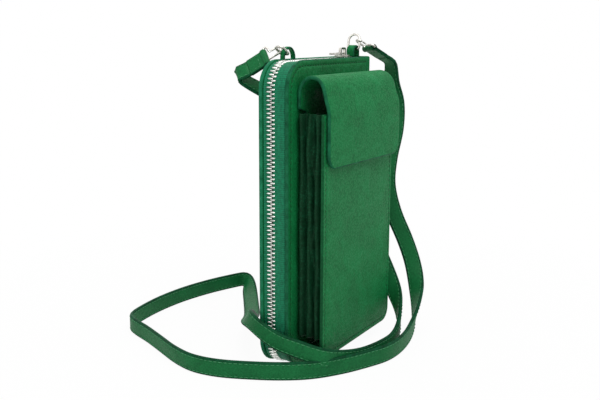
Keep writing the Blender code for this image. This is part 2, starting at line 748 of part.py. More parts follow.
def neck_half_width():
    """Half the width of the flap's sewn tongue, which lies between the gussets' roots."""
    return POCKET_W / 2 - GUSSET_INSET - 2 * GUSSET_PLEAT - FLAP_NECK_CLEAR


def flap_half_width(y, z):
    """Half the flap's width: less in the sewn tongue, and in the lower corners, which are round."""
    if y > POCKET_FACE_Y:
        return FLAP_W / 2 if z > POCKET_TOP + 2 * GAP else neck_half_width()
    above = z - FLAP_FOOT
    if above >= FLAP_CORNER_R:
        return FLAP_W / 2
    drop = FLAP_CORNER_R - above
    return FLAP_W / 2 - FLAP_CORNER_R + math.sqrt(max(FLAP_CORNER_R**2 - drop**2, 0))


def flap_lean(x, y):
    """How far forward the flap stands at a place: its spine side stands off further than its zip side."""
    forward = min(max((FRONT_Y - FLAP_T - y) / POCKET_D, 0.0), 1.0)
    return FLAP_TWIST * forward * (x / FLAP_W + 0.5)


def flap_rows(points):
    """Rows of places across the flap."""
    fold_z = POCKET_TOP + FLAP_RISE + FLAP_ARCH_R
    rows = []
    for y, z in points:
        half = flap_half_width(y, z)
        row = []
        for share in np.linspace(-1, 1, FLAP_COLUMNS + 1):
            x = share * half
            row.append((x, y - flap_lean(x, y), min(z, fold_z)))
        rows.append(row)
    return rows


def make_flap():
    points, fold = flap_profile()
    back = points[: fold + 1]
    front = points[fold:]
    back[-1] = (back[-1][0] + FLAP_FOLD_GAP / 2, back[-1][1])
    front[0] = (front[0][0] - FLAP_FOLD_GAP / 2, front[0][1])
    add_mesh("flap_back", sheet(flap_rows(back), FLAP_T), LEATHER, FRONT_HINGE)
    add_mesh("flap_front", sheet(flap_rows(front), FLAP_T), LEATHER, FLAP)
    lean = flap_lean(-SNAP_R, POCKET_FACE_Y - FLAP_STANDOFF)
    disc = arc((0, SNAP_Z), SNAP_R, 0, 345, 23)
    spot = POCKET_FACE_Y - FLAP_STANDOFF - lean + SNAP_T / 2 + GAP
    add_mesh("snap_disc", slab([disc], SNAP_T, upright(spot)), NICKEL, FLAP)


def flap_axis():
    points, fold = flap_profile()
    y, z = points[fold]
    return Vector((0, y - flap_lean(0, y), z + FLAP_T / 2))


def tab_outline(middle_x, span):
    """A strip bent over into an arch along X, its feet on the covers' top edge."""
    half = span / 2
    foot = BODY_H + GAP
    centre = (middle_x, BODY_H + GAP + TAB_TOP - half)
    legs_out = [(middle_x + half, foot)] if centre[1] > foot else []
    legs_in = [(middle_x - half + TAB_T, foot)] if centre[1] > foot else []
    outer = arc(centre, half, 0, 180)
    inner = arc(centre, half - TAB_T, 180, 0)
    closing = [(middle_x - half, foot)] if legs_out else []
    opening = [(middle_x + half - TAB_T, foot)] if legs_out else []
    return legs_out + outer + closing + legs_in + inner + opening


def ring_seat(middle_x, y, span, lean):
    """The ring's frame: its bar lies along Y inside the arch, and its second axis leans outwards."""
    half = span / 2
    turn = math.radians(lean)
    centre_z = BODY_H + GAP + TAB_TOP - half
    reach = half - TAB_T - GAP - RING_WIRE / 2
    up = Vector((math.sin(turn), 0, math.cos(turn)))
    bar = Vector((middle_x, y, centre_z)) + up * reach
    side = Vector((0, 1, 0))
    face = side.cross(up)
    return Matrix.Translation(bar) @ Matrix((side, up, face)).transposed().to_4x4()


def ring_points(width, height):
    """A D: a straight bar with tight bends, and a round far end."""
    half = width / 2
    points = arc((half - RING_BEND, RING_BEND), RING_BEND, -90, 0, 3)
    points += arc((0, height - half), half, 0, 180, 8)
    points += arc((RING_BEND - half, RING_BEND), RING_BEND, 180, 270, 3)
    return [(a, b, 0.0) for a, b in points]


def make_tab(side, x, y, span, width):
    strip = slab([tab_outline(x, span)], width, upright(y))
    ease_edges(add_mesh(f"tab_{side}", strip, LEATHER), GAP)


def make_ring(side, tab_width, height, seat, pivot):
    ring = wire(ring_points(ring_width(tab_width), height - RING_WIRE), RING_WIRE, True)
    ring.transform(seat)
    add_mesh(f"ring_{side}", ring, NICKEL, pivot)


def ring_width(tab_width):
    """Between the middles of the ring's sides, which clear the tab's strip."""
    return tab_width + 2 * GAP + RING_WIRE + RING_BEND / 4


def frame(origin, along, width):
    """A matrix whose first axis runs along, and whose second is the width made square to it."""
    first = Vector(along).normalized()
    second = Vector(width)
    second = (second - first * second.dot(first)).normalized()
    third = first.cross(second)
    turn = Matrix((first, second, third)).transposed().to_4x4()
    return Matrix.Translation(origin) @ turn


def hook_seat(ring, tab_width, height, side, way):
    """The hook's frame: its claw holds the ring's flank on the side given, and it runs the way given."""
    held = ring @ Vector((side * ring_width(tab_width) / 2, (height - RING_WIRE) / 2, 0))
    way = Vector(way).normalized()
    flank = ring.to_3x3() @ Vector((0, 1, 0))
    start = held - way * (HOOK_WIRE / 2 + HOOK_PLAY + RING_WIRE / 2)
    return frame(start, way, way.cross(flank))


def hook_body():
    """The hook's wire in its own frame, from one side of the gate round the bar to the other side."""
    claw, eye = (CLAW_W - HOOK_WIRE) / 2, (STRAP_W + HOOK_WIRE) / 2 + EYE_CLEAR
    end = HOOK_L - HOOK_WIRE
    shoulder = end - HOOK_WIRE - STRAP_T / 2 - 2 * GAP
    points = [(claw + GATE_L, claw), (CLAW_L, claw)]
    points += [(shoulder, eye), (end, eye), (end, -eye), (shoulder, -eye)]
    points += [(CLAW_L, -claw)]
    points += arc((claw, 0), claw, 270, 90, 6)
    return [(a, b, 0.0) for a, b in points]


def hook_gate():
    claw = (CLAW_W - HOOK_WIRE) / 2
    return [(claw + GAP, claw, 0.0), (claw + GATE_L - GAP, claw, 0.0)]


def hook_bar(seat):
    return seat @ Vector((HOOK_L - HOOK_WIRE, 0, 0))


def make_hooks():
    for side, seat in (("left", LEFT_HOOK_SEAT), ("right", RIGHT_HOOK_SEAT)):
        body = wire(hook_body(), HOOK_WIRE)
        body.transform(seat)
        add_mesh(f"hook_{side}", body, NICKEL)
        gate = wire(hook_gate(), GATE_WIRE)
        gate.transform(seat)
        add_mesh(f"gate_{side}", gate, NICKEL, GATES[side])


def fold_outlines():
    """The strap's folded end in its own frame, seen along its width: sewn flat, with an eye for the bar."""
    inner = HOOK_WIRE / 2 + GAP
    outer = inner + STRAP_T / 2
    flat = STRAP_T / 2
    neck = math.degrees(math.asin(flat / outer))
    nose = arc((0, 0), outer, neck, 360 - neck, 12)
    return [nose + [(END_FOLD_L, -flat), (END_FOLD_L, flat)], arc((0, 0), inner, 0, 330, 11)]


def smooth_route(points, step):
    """A smooth curve through the route's places, read at even steps of its length."""
    known = np.array(points, float)
    padded = np.vstack([2 * known[0] - known[1], known, 2 * known[-1] - known[-2]])
    fine = []
    for i in range(1, len(padded) - 2):
        before, start, end, after = padded[i - 1 : i + 3]
        for t in np.linspace(0, 1, 12, endpoint=False):
            fine.append(
                0.5
                * (
                    2 * start
                    + (end - before) * t
                    + (2 * before - 5 * start + 4 * end - after) * t**2
                    + (3 * start - before - 3 * end + after) * t**3
                )
            )
    fine.append(padded[-2])
    fine = np.array(fine)
    runs = np.r_[0, np.cumsum(np.linalg.norm(np.diff(fine[:, :3], axis=0), axis=1))]
    count = int(round(runs[-1] / step))
    wanted = np.linspace(0, runs[-1], count + 1)
    return np.stack([np.interp(wanted, runs, fine[:, k]) for k in range(fine.shape[1])], axis=1), runs[-1]


def strap_lead(seat):
    """The strap's first three places: where it meets its folded end, and two more straight on."""
    turn = seat.to_3x3()
    way, width = turn @ Vector((1, 0, 0)), turn @ Vector((0, 1, 0))
    start = hook_bar(seat) + way * (END_FOLD_L + GAP)
    return [tuple(start + way * STRAP_STEP * share) + tuple(width) for share in STRAP_LEAD_SHARES]


def make_strap():
    """A flat strap lofted along its route: one section at each place, turned to its own width."""
    route = [tuple(c * MM for c in place) + tuple(way) for place, way in STRAP_ROUTE]
    route = strap_lead(RIGHT_HOOK_SEAT) + route + strap_lead(LEFT_HOOK_SEAT)[::-1]
    read, length = smooth_route(route, STRAP_STEP)
    places, ways = read[:, :3], read[:, 3:]
    along = np.gradient(places, axis=0)
    along[0], along[-1] = RIGHT_HOOK_SEAT.col[0][:3], (-LEFT_HOOK_SEAT.col[0])[:3]
    along /= np.linalg.norm(along, axis=1)[:, None]
    ways = ways - along * (ways * along).sum(1)[:, None]
    ways /= np.linalg.norm(ways, axis=1)[:, None]
    through = np.cross(along, ways)
    edge = STRAP_T / 2
    half = STRAP_W / 2
    flat = half - edge
    section = [(flat, edge), (-flat, edge), (-half, 0), (-flat, -edge), (flat, -edge), (half, 0)]
    work = bmesh.new()
    rings = []
    for place, way, out in zip(places, ways, through):
        rings.append([work.verts.new(place + way * a + out * b) for a, b in section])
    for one, two in zip(rings, rings[1:]):
        for i in range(len(section)):
            j = (i + 1) % len(section)
            work.faces.new((one[i], one[j], two[j], two[i]))
    work.faces.new(rings[0][::-1])
    work.faces.new(rings[-1])
    bmesh.ops.recalc_face_normals(work, faces=work.faces)
    mesh = bpy.data.meshes.new("strap")
    work.to_mesh(mesh)
    work.free()
    add_mesh("strap", mesh, STRAP_LEATHER)
    print(f"strap: {length / MM:.0f} mm along its middle, lowest {places[:, 2].min() / MM:.1f} mm")


def make_strap_ends():
    """The folded ends, each from its hook's bar to the strap, face to face with it."""
    for side, seat in (("left", LEFT_HOOK_SEAT), ("right", RIGHT_HOOK_SEAT)):
        turn = seat.to_3x3()
        along, width = turn @ Vector((1, 0, 0)), turn @ Vector((0, 1, 0))
        mesh = slab(fold_outlines(), STRAP_W, frame_of_fold(hook_bar(seat), along, width))
        add_mesh(f"strap_end_{side}", mesh, STRAP_LEATHER)


def frame_of_fold(start, along, width):
    """The fold's outline runs along X and is extruded along the strap's width."""
    first = Vector(along).normalized()
    third = Vector(width)
    third = (third - first * third.dot(first)).normalized()
    second = third.cross(first)
    turn = Matrix((first, second, third)).transposed().to_4x4()
    return Matrix.Translation(start) @ turn


clear_scene()
PARTS = new_collection("phone_wallet")
HELPERS = new_collection("helpers")

LEATHER = material("green_leather", "#2F7A4C", 0.55)
STRAP_LEATHER = material("strap_leather", "#1F6B3E", 0.5)
LINING_LEATHER = material("inner_leather", "#2A6B47", 0.6)
GUSSET = material("gusset_leather", "#1A4A2E", 0.6)
CLOTH = material("lining_cloth", "#1D3B2B", 0.85)
TAPE = material("zip_tape", "#1A7556", 0.8)
NICKEL = material("nickel_plate", "#BFC3BE", 0.28, 1.0)

FRONT_HINGE = empty("front_hinge", (SPINE_X, CHAIN_Y, 0))
FLAP = empty("flap_fold", flap_axis(), FRONT_HINGE)
SLIDER = empty("slider_run", (SLIDER_X, CHAIN_Y, TAPE_Z))
PULL = empty("pull_pivot", pull_axis(), SLIDER)
LEFT_RING_SEAT = ring_seat(LEFT_TAB_X, LEFT_TAB_Y, LEFT_TAB_SPAN, LEFT_RING_LEAN)
RIGHT_RING_SEAT = ring_seat(RIGHT_TAB_X, RIGHT_TAB_Y, RIGHT_TAB_SPAN, RIGHT_RING_LEAN)
LEFT_RING = empty("left_ring_pivot", LEFT_RING_SEAT.translation)
RIGHT_RING = empty("right_ring_pivot", RIGHT_RING_SEAT.translation)

LEFT_HOOK_SEAT =hook_seat(LEFT_RING_SEAT, LEFT_TAB_W, LEFT_RING_H, 1, LEFT_HOOK_WAY)
RIGHT_HOOK_SEAT = hook_seat(RIGHT_RING_SEAT, RIGHT_TAB_W, RIGHT_RING_H, -1, RIGHT_HOOK_WAY)
GATES = {
    "left": empty("left_gate_pivot", LEFT_HOOK_SEAT @ Vector(hook_gate()[1])),
    "right": empty("right_gate_pivot", RIGHT_HOOK_SEAT @ Vector(hook_gate()[1])),
}

make_covers()
make_spine()
make_zip()
make_slider()
make_pull()
make_inside()
make_pocket()
make_flap()
make_tab("left", LEFT_TAB_X, LEFT_TAB_Y, LEFT_TAB_SPAN, LEFT_TAB_W)
make_tab("right", RIGHT_TAB_X, RIGHT_TAB_Y, RIGHT_TAB_SPAN, RIGHT_TAB_W)
make_ring("left", LEFT_TAB_W, LEFT_RING_H, LEFT_RING_SEAT, LEFT_RING)
make_ring("right", RIGHT_TAB_W, RIGHT_RING_H, RIGHT_RING_SEAT, RIGHT_RING)
make_hooks()
make_strap()
make_strap_ends()
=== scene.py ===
# A zip-around phone wallet in green leather, with a bellows pocket, an arched flap and a long strap.
# Every place here is in millimetres in the model's own frame, and becomes metres in putPiece.
import bmesh
import bpy
import numpy as np
from mathutils import Matrix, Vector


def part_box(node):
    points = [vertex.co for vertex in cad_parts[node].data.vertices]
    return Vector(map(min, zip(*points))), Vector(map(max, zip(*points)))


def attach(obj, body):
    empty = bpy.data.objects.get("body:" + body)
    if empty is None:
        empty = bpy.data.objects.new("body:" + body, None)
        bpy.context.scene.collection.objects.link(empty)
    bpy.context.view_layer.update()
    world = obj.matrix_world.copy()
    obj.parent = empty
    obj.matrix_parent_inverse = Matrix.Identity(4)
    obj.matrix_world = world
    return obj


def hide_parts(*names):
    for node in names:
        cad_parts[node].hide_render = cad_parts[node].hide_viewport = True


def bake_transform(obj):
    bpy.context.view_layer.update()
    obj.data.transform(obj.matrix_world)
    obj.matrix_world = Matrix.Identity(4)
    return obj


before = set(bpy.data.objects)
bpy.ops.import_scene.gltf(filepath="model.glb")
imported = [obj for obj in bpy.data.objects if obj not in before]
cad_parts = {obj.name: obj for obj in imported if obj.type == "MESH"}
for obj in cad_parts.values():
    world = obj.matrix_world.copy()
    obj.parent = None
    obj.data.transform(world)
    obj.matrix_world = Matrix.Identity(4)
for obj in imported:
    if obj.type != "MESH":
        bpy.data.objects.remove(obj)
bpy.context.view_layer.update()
scene = bpy.context.scene
mm = 0.001

# solved from the photograph: the eye in metres, turns in degrees, the lens in millimetres
cameraSet = {"eye": (-0.48707, -0.2822, 0.21326), "yaw": 59.488, "pitch": 11.061, "roll": 0.199,
             "lens": 50.83, "shift": (0.00076, -0.0085)}


def setCamera(s):
    # forward = (sin yaw cos pitch, cos yaw cos pitch, -sin pitch), and the roll turns right and up about it
    yaw, pitch, roll = np.radians((s["yaw"], s["pitch"], s["roll"]))
    forward = np.array((np.sin(yaw) * np.cos(pitch), np.cos(yaw) * np.cos(pitch), -np.sin(pitch)))
    level = np.array((np.cos(yaw), -np.sin(yaw), 0.0))
    top = np.cross(level, forward)
    right = np.cos(roll) * level + np.sin(roll) * top
    up = np.cos(roll) * top - np.sin(roll) * level
    data = bpy.data.cameras.new("camera")
    data.lens, data.sensor_width, data.sensor_fit = s["lens"], 36.0, "HORIZONTAL"
    data.shift_x, data.shift_y = s["shift"]
    data.clip_start = 0.01
    camera = bpy.data.objects.new("camera", data)
    scene.collection.objects.link(camera)
    turn = Matrix(np.column_stack((right, up, -forward)).tolist()).to_4x4()
    camera.matrix_world = Matrix.Translation(s["eye"]) @ turn
    scene.camera = camera


setCamera(cameraSet)


def linearFromHex(code):
    # sRGB to linear: c / 12.92 up to 0.04045, above it ((c + 0.055) / 1.055) ** 2.4
    c = np.array([int(code[i:i + 2], 16) for i in (1, 3, 5)]) / 255
    c = np.where(c <= 0.04045, c / 12.92, ((c + 0.055) / 1.055) ** 2.4)
    return (*c.tolist(), 1.0)


def addNode(tree, kind, values=None, links=None, stops=None, **settings):
    # values go to the sockets themselves, links join other nodes, stops are a ramp's colours
    node = tree.nodes.new(kind)
    for name, value in settings.items():
        setattr(node, name, value)
    for name, value in (values or {}).items():
        node.inputs[name].default_value = value
    for name, source in (links or {}).items():
        tree.links.new(source, node.inputs[name])
    for i, (at, colour) in enumerate(stops or ()):
        ramp = node.color_ramp.elements
        element = ramp[i] if i < 2 else ramp.new(at)
        element.position, element.color = at, linearFromHex(colour)
    return node


def newLook(name):
    # an empty material, its node tree and the place on the piece, in metres
    look = bpy.data.materials.new(name)
    look.use_nodes = True
    look.node_tree.nodes.clear()
    return look, look.node_tree, addNode(look.node_tree, "ShaderNodeTexCoord").outputs["Object"]


def finishLook(tree, tone, stops, height, depthMm, values, rough=None):
    # tone picks the colour from the stops, and height raises the surface by up to that many millimetres
    colour = addNode(tree, "ShaderNodeValToRGB", links={"Fac": tone}, stops=stops)
    bump = addNode(tree, "ShaderNodeBump", {"Distance": depthMm * mm}, {"Height": height})
    links = {"Base Color": colour.outputs["Color"], "Normal": bump.outputs[0]}
    if rough is not None:
        links["Roughness"] = rough
    shader = addNode(tree, "ShaderNodeBsdfPrincipled", values, links)
    addNode(tree, "ShaderNodeOutputMaterial", links={"Surface": shader.outputs[0]})


def leatherLook(name, dark, base, light, grainMm, depthMm, foldMm, roughness, gloss=0.1):
    # drum-dyed calf, pressed with a grain: round pebbles, finer pores on them, and slow folds in tone
    look, tree, place = newLook(name)
    where = {"Vector": place}
    drift = addNode(tree, "ShaderNodeTexNoise", {"Scale": 1000 / (4 * grainMm), "Detail": 2.0}, where)
    bent = addNode(tree, "ShaderNodeVectorMath", {1: (grainMm * mm,) * 3}, {0: drift.outputs["Color"], 2: place},
                   operation="MULTIPLY_ADD")
    pebble = addNode(tree, "ShaderNodeTexVoronoi", {"Scale": 1000 / grainMm, "Smoothness": 0.35},
                     {"Vector": bent.outputs[0]}, feature="SMOOTH_F1").outputs["Distance"]
    pore, fold = (addNode(tree, "ShaderNodeTexNoise", values, where).outputs["Fac"] for values in (
        {"Scale": 1000 / (0.3 * grainMm), "Detail": 2.0}, {"Scale": 1000 / foldMm, "Detail": 4.0, "Distortion": 0.8}))
    pebbled = addNode(tree, "ShaderNodeMath", {1: -1.0}, {0: pebble, 2: pore}, operation="MULTIPLY_ADD").outputs[0]
    height = addNode(tree, "ShaderNodeMath", {1: 1.6}, {0: fold, 2: pebbled}, operation="MULTIPLY_ADD").outputs[0]
    crease = addNode(tree, "ShaderNodeMath", {1: -0.28, 2: 0.45}, {0: pebble}, operation="MULTIPLY_ADD").outputs[0]
    tone = addNode(tree, "ShaderNodeMath", {1: 0.4}, {0: fold, 2: crease}, operation="MULTIPLY_ADD").outputs[0]
    rough = addNode(tree, "ShaderNodeMapRange",
                    {"From Min": 0.1, "From Max": 0.7, "To Min": roughness - 0.05, "To Max": roughness + 0.1},
                    {"Value": pebble}).outputs[0]
    finishLook(tree, tone, ((0.22, dark), (0.8, light), (0.52, base)), height, depthMm,
               {"Specular IOR Level": gloss}, rough)
    return look


def paintLook(name, dark, light, roughness):
    # edge paint: built up in coats on the cut edge, so it is smooth with slow waves and a soft shine
    look, tree, place = newLook(name)
    wave, speck = (addNode(tree, "ShaderNodeTexNoise", {"Scale": 1000 / size, "Detail": detail},
                           {"Vector": place}).outputs["Fac"] for size, detail in ((5, 3.0), (0.7, 1.0)))
    tone = addNode(tree, "ShaderNodeMath", {1: 0.4}, {0: speck, 2: wave}, operation="MULTIPLY_ADD").outputs[0]
    finishLook(tree, tone, ((0.45, dark), (0.95, light)), tone, 0.12,
               {"Roughness": roughness, "Specular IOR Level": 0.06})
    return look


def clothLook(name, dark, light, warpMm, weftMm, depthMm, roughness, source="Object"):
    # woven cloth: 0.14 (sin(2 pi u / warp) + sin(2 pi v / weft)) + fuzz, a little coarser than real so that it shows
    look, tree, place = newLook(name)
    weavePlace = addNode(tree, "ShaderNodeTexCoord").outputs[source]
    parts = addNode(tree, "ShaderNodeSeparateXYZ", links={0: weavePlace})
    waves = []
    for axis, pitch in zip("XY" if source == "UV" else "XZ", (warpMm, weftMm)):
        turns = addNode(tree, "ShaderNodeMath", {1: 2 * np.pi * 1000 / pitch}, {0: parts.outputs[axis]},
                        operation="MULTIPLY").outputs[0]
        waves.append(addNode(tree, "ShaderNodeMath", links={0: turns}, operation="SINE").outputs[0])
    weave = addNode(tree, "ShaderNodeMath", links={0: waves[0], 1: waves[1]}, operation="ADD").outputs[0]
    fuzz = addNode(tree, "ShaderNodeTexNoise", {"Scale": 1000 / 1.7, "Detail": 3.0}, {"Vector": place}).outputs["Fac"]
    tone = addNode(tree, "ShaderNodeMath", {1: 0.14}, {0: weave, 2: fuzz}, operation="MULTIPLY_ADD").outputs[0]
    finishLook(tree, tone, ((0.25, dark), (0.75, light)), tone, depthMm,
               {"Roughness": roughness, "Specular IOR Level": 0.2})
    return look


def nickelLook(name, dark, light, roughness):
    # nickel plate on die-cast zinc, barrel polished: bright, with soft wear and fine rubbed scratches
    look, tree, place = newLook(name)
    cloud = addNode(tree, "ShaderNodeTexNoise", {"Scale": 1000 / 3, "Detail": 3.0}, {"Vector": place}).outputs["Fac"]
    long = addNode(tree, "ShaderNodeMapping", {"Scale": (1.0, 6.0, 2.0)}, {"Vector": place}).outputs[0]
    rough = addNode(tree, "ShaderNodeMapRange", {"To Min": roughness - 0.08, "To Max": roughness + 0.1},
                    {"Value": cloud}).outputs[0]
    rub = addNode(tree, "ShaderNodeTexNoise", {"Scale": 1000 / 0.5, "Detail": 2.0}, {"Vector": long}).outputs["Fac"]
    finishLook(tree, cloud, ((0.3, dark), (0.65, light)), rub, 0.012, {"Metallic": 1.0}, rough)
    return look


looks = {
    "leather": leatherLook("pressed_calf_green", "#0b4f29", "#12753e", "#1f9154", 1.3, 0.16, 16, 0.46),
    "strapLeather": leatherLook("strap_calf_green", "#0d4a29", "#166637", "#217a45", 1.0, 0.06, 14, 0.42),
    # the pocket's turned edge takes a darker copy of the green leather: painted shade on that rounded edge
    "turned": leatherLook("turned_edge_leather_painted_shade", "#07351c", "#0c4d2a", "#15663a", 1.3, 0.12, 16, 0.5),
    "inner": leatherLook("lining_leather_green", "#124a30", "#1d6240", "#28714e", 0.9, 0.06, 22, 0.55),
    # the gusset takes a much darker copy of the green leather: painted shade in the deep recess between the cover, the
    # pocket and the flap
    "gusset": leatherLook("gusset_leather_painted_shade", "#041c0e", "#0a351e", "#16583a", 1.2, 0.1, 9, 0.5),
    "edge": paintLook("painted_edge", "#0e432b", "#1e6f4a", 0.55),
    # the back cover's edge paint is a lighter copy of the edge paint: painted light on that edge, which lies in shade
    # beside the zip tape
    "backEdgePaintedLight": paintLook("back_edge_paint_painted_light", "#125a3c", "#27845d", 0.55),
    "strapEdge": paintLook("painted_strap_edge", "#08331d", "#125434", 0.5),
    "tape": clothLook("zip_tape_polyester", "#0a5a3e", "#128058", 1.3, 1.0, 0.05, 0.62, "UV"),
    "lining": clothLook("lining_twill", "#1a4430", "#2b5f49", 0.9, 0.9, 0.1, 0.85),
    "nickel": nickelLook("polished_nickel", "#9c9a94", "#d9d6cf", 0.2),
    "teeth": nickelLook("bright_nickel_teeth", "#a9b0aa", "#e6e8e2", 0.24),
    "thread": clothLook("waxed_thread_green", "#0c4324", "#1a6238", 0.6, 0.5, 0.08, 0.5),
    "strapThread": clothLook("waxed_thread_light", "#286f42", "#448f61", 0.6, 0.5, 0.08, 0.5),
}
print("materials ready:", len(looks))


def gridFaces(rows, cols, wrapRows=False):
    # quads between neighbouring rows of closed rings; each end ring is closed by strips between its two halves
    r = np.arange(rows if wrapRows else rows - 1)[:, None]
    c = np.arange(cols)[None, :]
    n, s = (c + 1) % cols, (r + 1) % rows
    quads = np.stack((r * cols + c, r * cols + n, s * cols + n, s * cols + c), -1).reshape(-1, 4)
    if wrapRows:
        return quads
    i = np.arange(cols // 2 - 1)
    strip = np.stack((i, i + 1, cols - 2 - i, cols - 1 - i), 1)
    return np.concatenate((quads, strip[:, ::-1], strip + (rows - 1) * cols))


def putPiece(name, points, faces, look, body, replaced=(), second=None, marked=None, uv=None):
    # points in millimetres; the faces in marked take the second look; uv is one pair for each point
    mesh = bpy.data.meshes.new(name)
    points = np.asarray(points, float).reshape(-1, 3) * mm
    mesh.from_pydata(points.tolist(), [], np.asarray(faces).tolist())
    mesh.materials.append(looks[look])
    if second:
        mesh.materials.append(looks[second])
        index = np.zeros(len(mesh.polygons), np.int32)
        index[:len(marked)] = marked
        mesh.polygons.foreach_set("material_index", index)
    if uv is not None:
        corner = np.zeros(len(mesh.loops), np.int32)
        mesh.loops.foreach_get("vertex_index", corner)
        layer = mesh.uv_layers.new(name="UVMap")
        layer.data.foreach_set("uv", (np.asarray(uv, float).reshape(-1, 2) * mm)[corner].ravel())
    mesh.polygons.foreach_set("use_smooth", np.ones(len(mesh.polygons), bool))
    work = bmesh.new()
    work.from_mesh(mesh)
    bmesh.ops.remove_doubles(work, verts=work.verts, dist=1e-7)
    bmesh.ops.recalc_face_normals(work, faces=work.faces)
    work.to_mesh(mesh)
    work.free()
    piece = bpy.data.objects.new(name, mesh)
    scene.collection.objects.link(piece)
    if body:
        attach(piece, body)
    if replaced:
        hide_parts(*replaced)
    return piece


def unit(v):
    # each vector divided by its own length
    return v / np.maximum(np.linalg.norm(v, axis=-1, keepdims=True), 1e-9)


def sweep(path, across, up, section, closed=False):
    # point = path + across * a + up * b, for each (a, b) of the section at that place of the path
    path, section = np.asarray(path, float), np.asarray(section, float)
    n = len(path)
    section = np.broadcast_to(section, (n,) + section.shape[-2:])
    across, up = (np.broadcast_to(np.asarray(v, float), (n, 3)) for v in (across, up))
    points = path[:, None] + section[..., :1] * across[:, None] + section[..., 1:] * up[:, None]
    return points, gridFaces(n, section.shape[1], closed)


def stadium(half, thick, spots, arcs=5, groove=None, depth=0.0):
    # flat faces at +-thick with a round edge at each end; a groove takes depth * exp(-((|a| - groove) / 0.5)^2)
    a = np.asarray(spots, float) * (half - thick)
    b = np.full(len(a), float(thick))
    if groove:
        b -= depth * np.exp(-(((np.abs(a) - groove) / 0.5) ** 2))
    t = np.radians(np.linspace(90, -90, arcs + 2)[1:-1])
    top = np.stack((a, b), 1)
    end = np.stack((half - thick + thick * np.cos(t), thick * np.sin(t)), 1)
    return np.concatenate((top, end, -top, -end))


def edgeColumns(faceSpots, arcs, rings):
    # marks the quads of the two round edges of a swept stadium, ring by ring
    one = np.zeros(2 * (faceSpots + arcs), np.int32)
    for start in (faceSpots - 1, 2 * faceSpots + arcs - 1):
        one[start:start + arcs + 1] = 1
    return np.tile(one, rings)


def outline(span, radii, inset, pitch=5.0, arcs=7):
    # a rounded rectangle from its lower left corner round; every inset has the same number of points
    u0, u1, v0, v1 = span
    ends = []
    for i, (u, v) in enumerate(((u0, v0), (u1, v0), (u1, v1), (u0, v1))):
        r = radii[i]
        keep = max(r, inset + 0.05)
        centre = np.array((u + keep * (1 if u == u0 else -1), v + keep * (1 if v == v0 else -1)))
        t = np.radians(180 + 90 * i + np.linspace(0, 90, arcs + 1))
        ends.append(centre + max(r - inset, 0.05) * np.stack((np.cos(t), np.sin(t)), 1))
    points = []
    for i, arc in enumerate(ends):
        run = (u1 - u0 if i % 2 == 0 else v1 - v0) - radii[i] - radii[(i + 1) % 4]
        count = max(2, int(round(run / pitch)))
        share = np.linspace(0, 1, count + 1)[1:-1, None]
        points += [arc, arc[-1] * (1 - share) + ends[(i + 1) % 4][0] * share]
    return np.concatenate(points)


def panelPoints(s):
    # rings of the outline: (inset, depth) runs from the middle of the front face over the edge to the back face
    thick = s["back"] - s["front"]
    t, way = abs(thick), np.sign(thick)
    g, ease = s.get("groove"), min(0.8, 0.45 * t)
    u0, u1, v0, v1 = s["span"]
    reach = 0.42 * min(u1 - u0, v1 - v0)
    start = (g or 2) + 2.2
    inner = [start + (reach - start) * k for k in (1, 0.8, 0.6, 0.42, 0.27, 0.13, 0)]
    front = [(i, 0.0) for i in inner]
    if g:
        front += [(g + 0.8, 0.02), (g + 0.35, 0.6 * s["grooveDepth"]), (g, s["grooveDepth"]),
                  (g - 0.35, 0.6 * s["grooveDepth"]), (g - 0.8, 0.0)]
    front += [(1.1 * ease + 0.4, 0.0), (0.85 * ease, 0.06 * ease), (0.4 * ease, 0.3 * ease), (0.1 * ease, 0.65 * ease)]
    rim = len(front) - 3
    past = g - 1.5 if g else start - 0.1
    profile = front + [(0.0, ease), (0.0, t - ease)]
    profile += [(i, t - d) for i, d in front[::-1] if d <= ease and i < past] + [(i, t) for i in inner[::-1]]
    rings = []
    for k, (inset, depth) in enumerate(profile):
        ring = outline(s["span"], s["radii"], inset)
        fade = np.clip((inset - start + 2) / 6, 0, 1) * np.clip((reach - inset) / 12, 0, 1)
        wave = s.get("wave", 0.0) * fade * (np.sin(ring[:, 0] / 11 + ring[:, 1] / 23) + np.sin(ring[:, 1] / 17 - 1.3))
        lift = s.get("crown", 0.0) * (1 - np.exp(-max(inset - 2, 0) / 9)) if depth < t / 2 else 0.0
        w = s["front"] + way * (depth - lift) + wave * 0.5
        rings.append(np.stack((ring[:, 0], ring[:, 1], w), 1))
    edge = range(rim, len(front) + 2 + 2)
    return np.array(rings), edge


def putPanel(name, s, look, body, replaced, second=None):
    # u and v lie in the panel, w is its thickness: upright panels are (x, z, y), level ones are (x, y, z)
    rings, edge = panelPoints(s)
    points = rings if s.get("level") else rings[..., [0, 2, 1]]
    count = rings.shape[1]
    marked = np.repeat([1 if k in edge else 0 for k in range(len(rings) - 1)], count) if second else None
    return putPiece(name, points, gridFaces(len(rings), count), look, body, replaced, second, marked)


def repeated(shape, faces, places, along, across, normal):
    # each copy = place + along * a + across * b + normal * c, for every point (a, b, c) of the shape
    points = (places[:, None] + shape[None, :, :1] * along[:, None] + shape[None, :, 1:2] * across[:, None]
              + shape[None, :, 2:] * normal[:, None])
    copies = faces[None] + (np.arange(len(places)) * len(shape))[:, None, None]
    return points.reshape(-1, 3), copies.reshape(-1, 4)


def runAlong(path):
    # the length of the line up to each of its points
    return np.r_[0, np.cumsum(np.linalg.norm(np.diff(path, axis=0), axis=1))]


def readAt(at, run, field):
    # each column of the field, read at those lengths
    return np.stack([np.interp(at, run, field[:, k]) for k in range(field.shape[1])], 1)


def soften(points, times):
    # each inner row becomes a quarter, a half and a quarter of the rows before, at and after it, in place
    for _ in range(times):
        points[1:-1] = 0.25 * points[:-2] + 0.5 * points[1:-1] + 0.25 * points[2:]


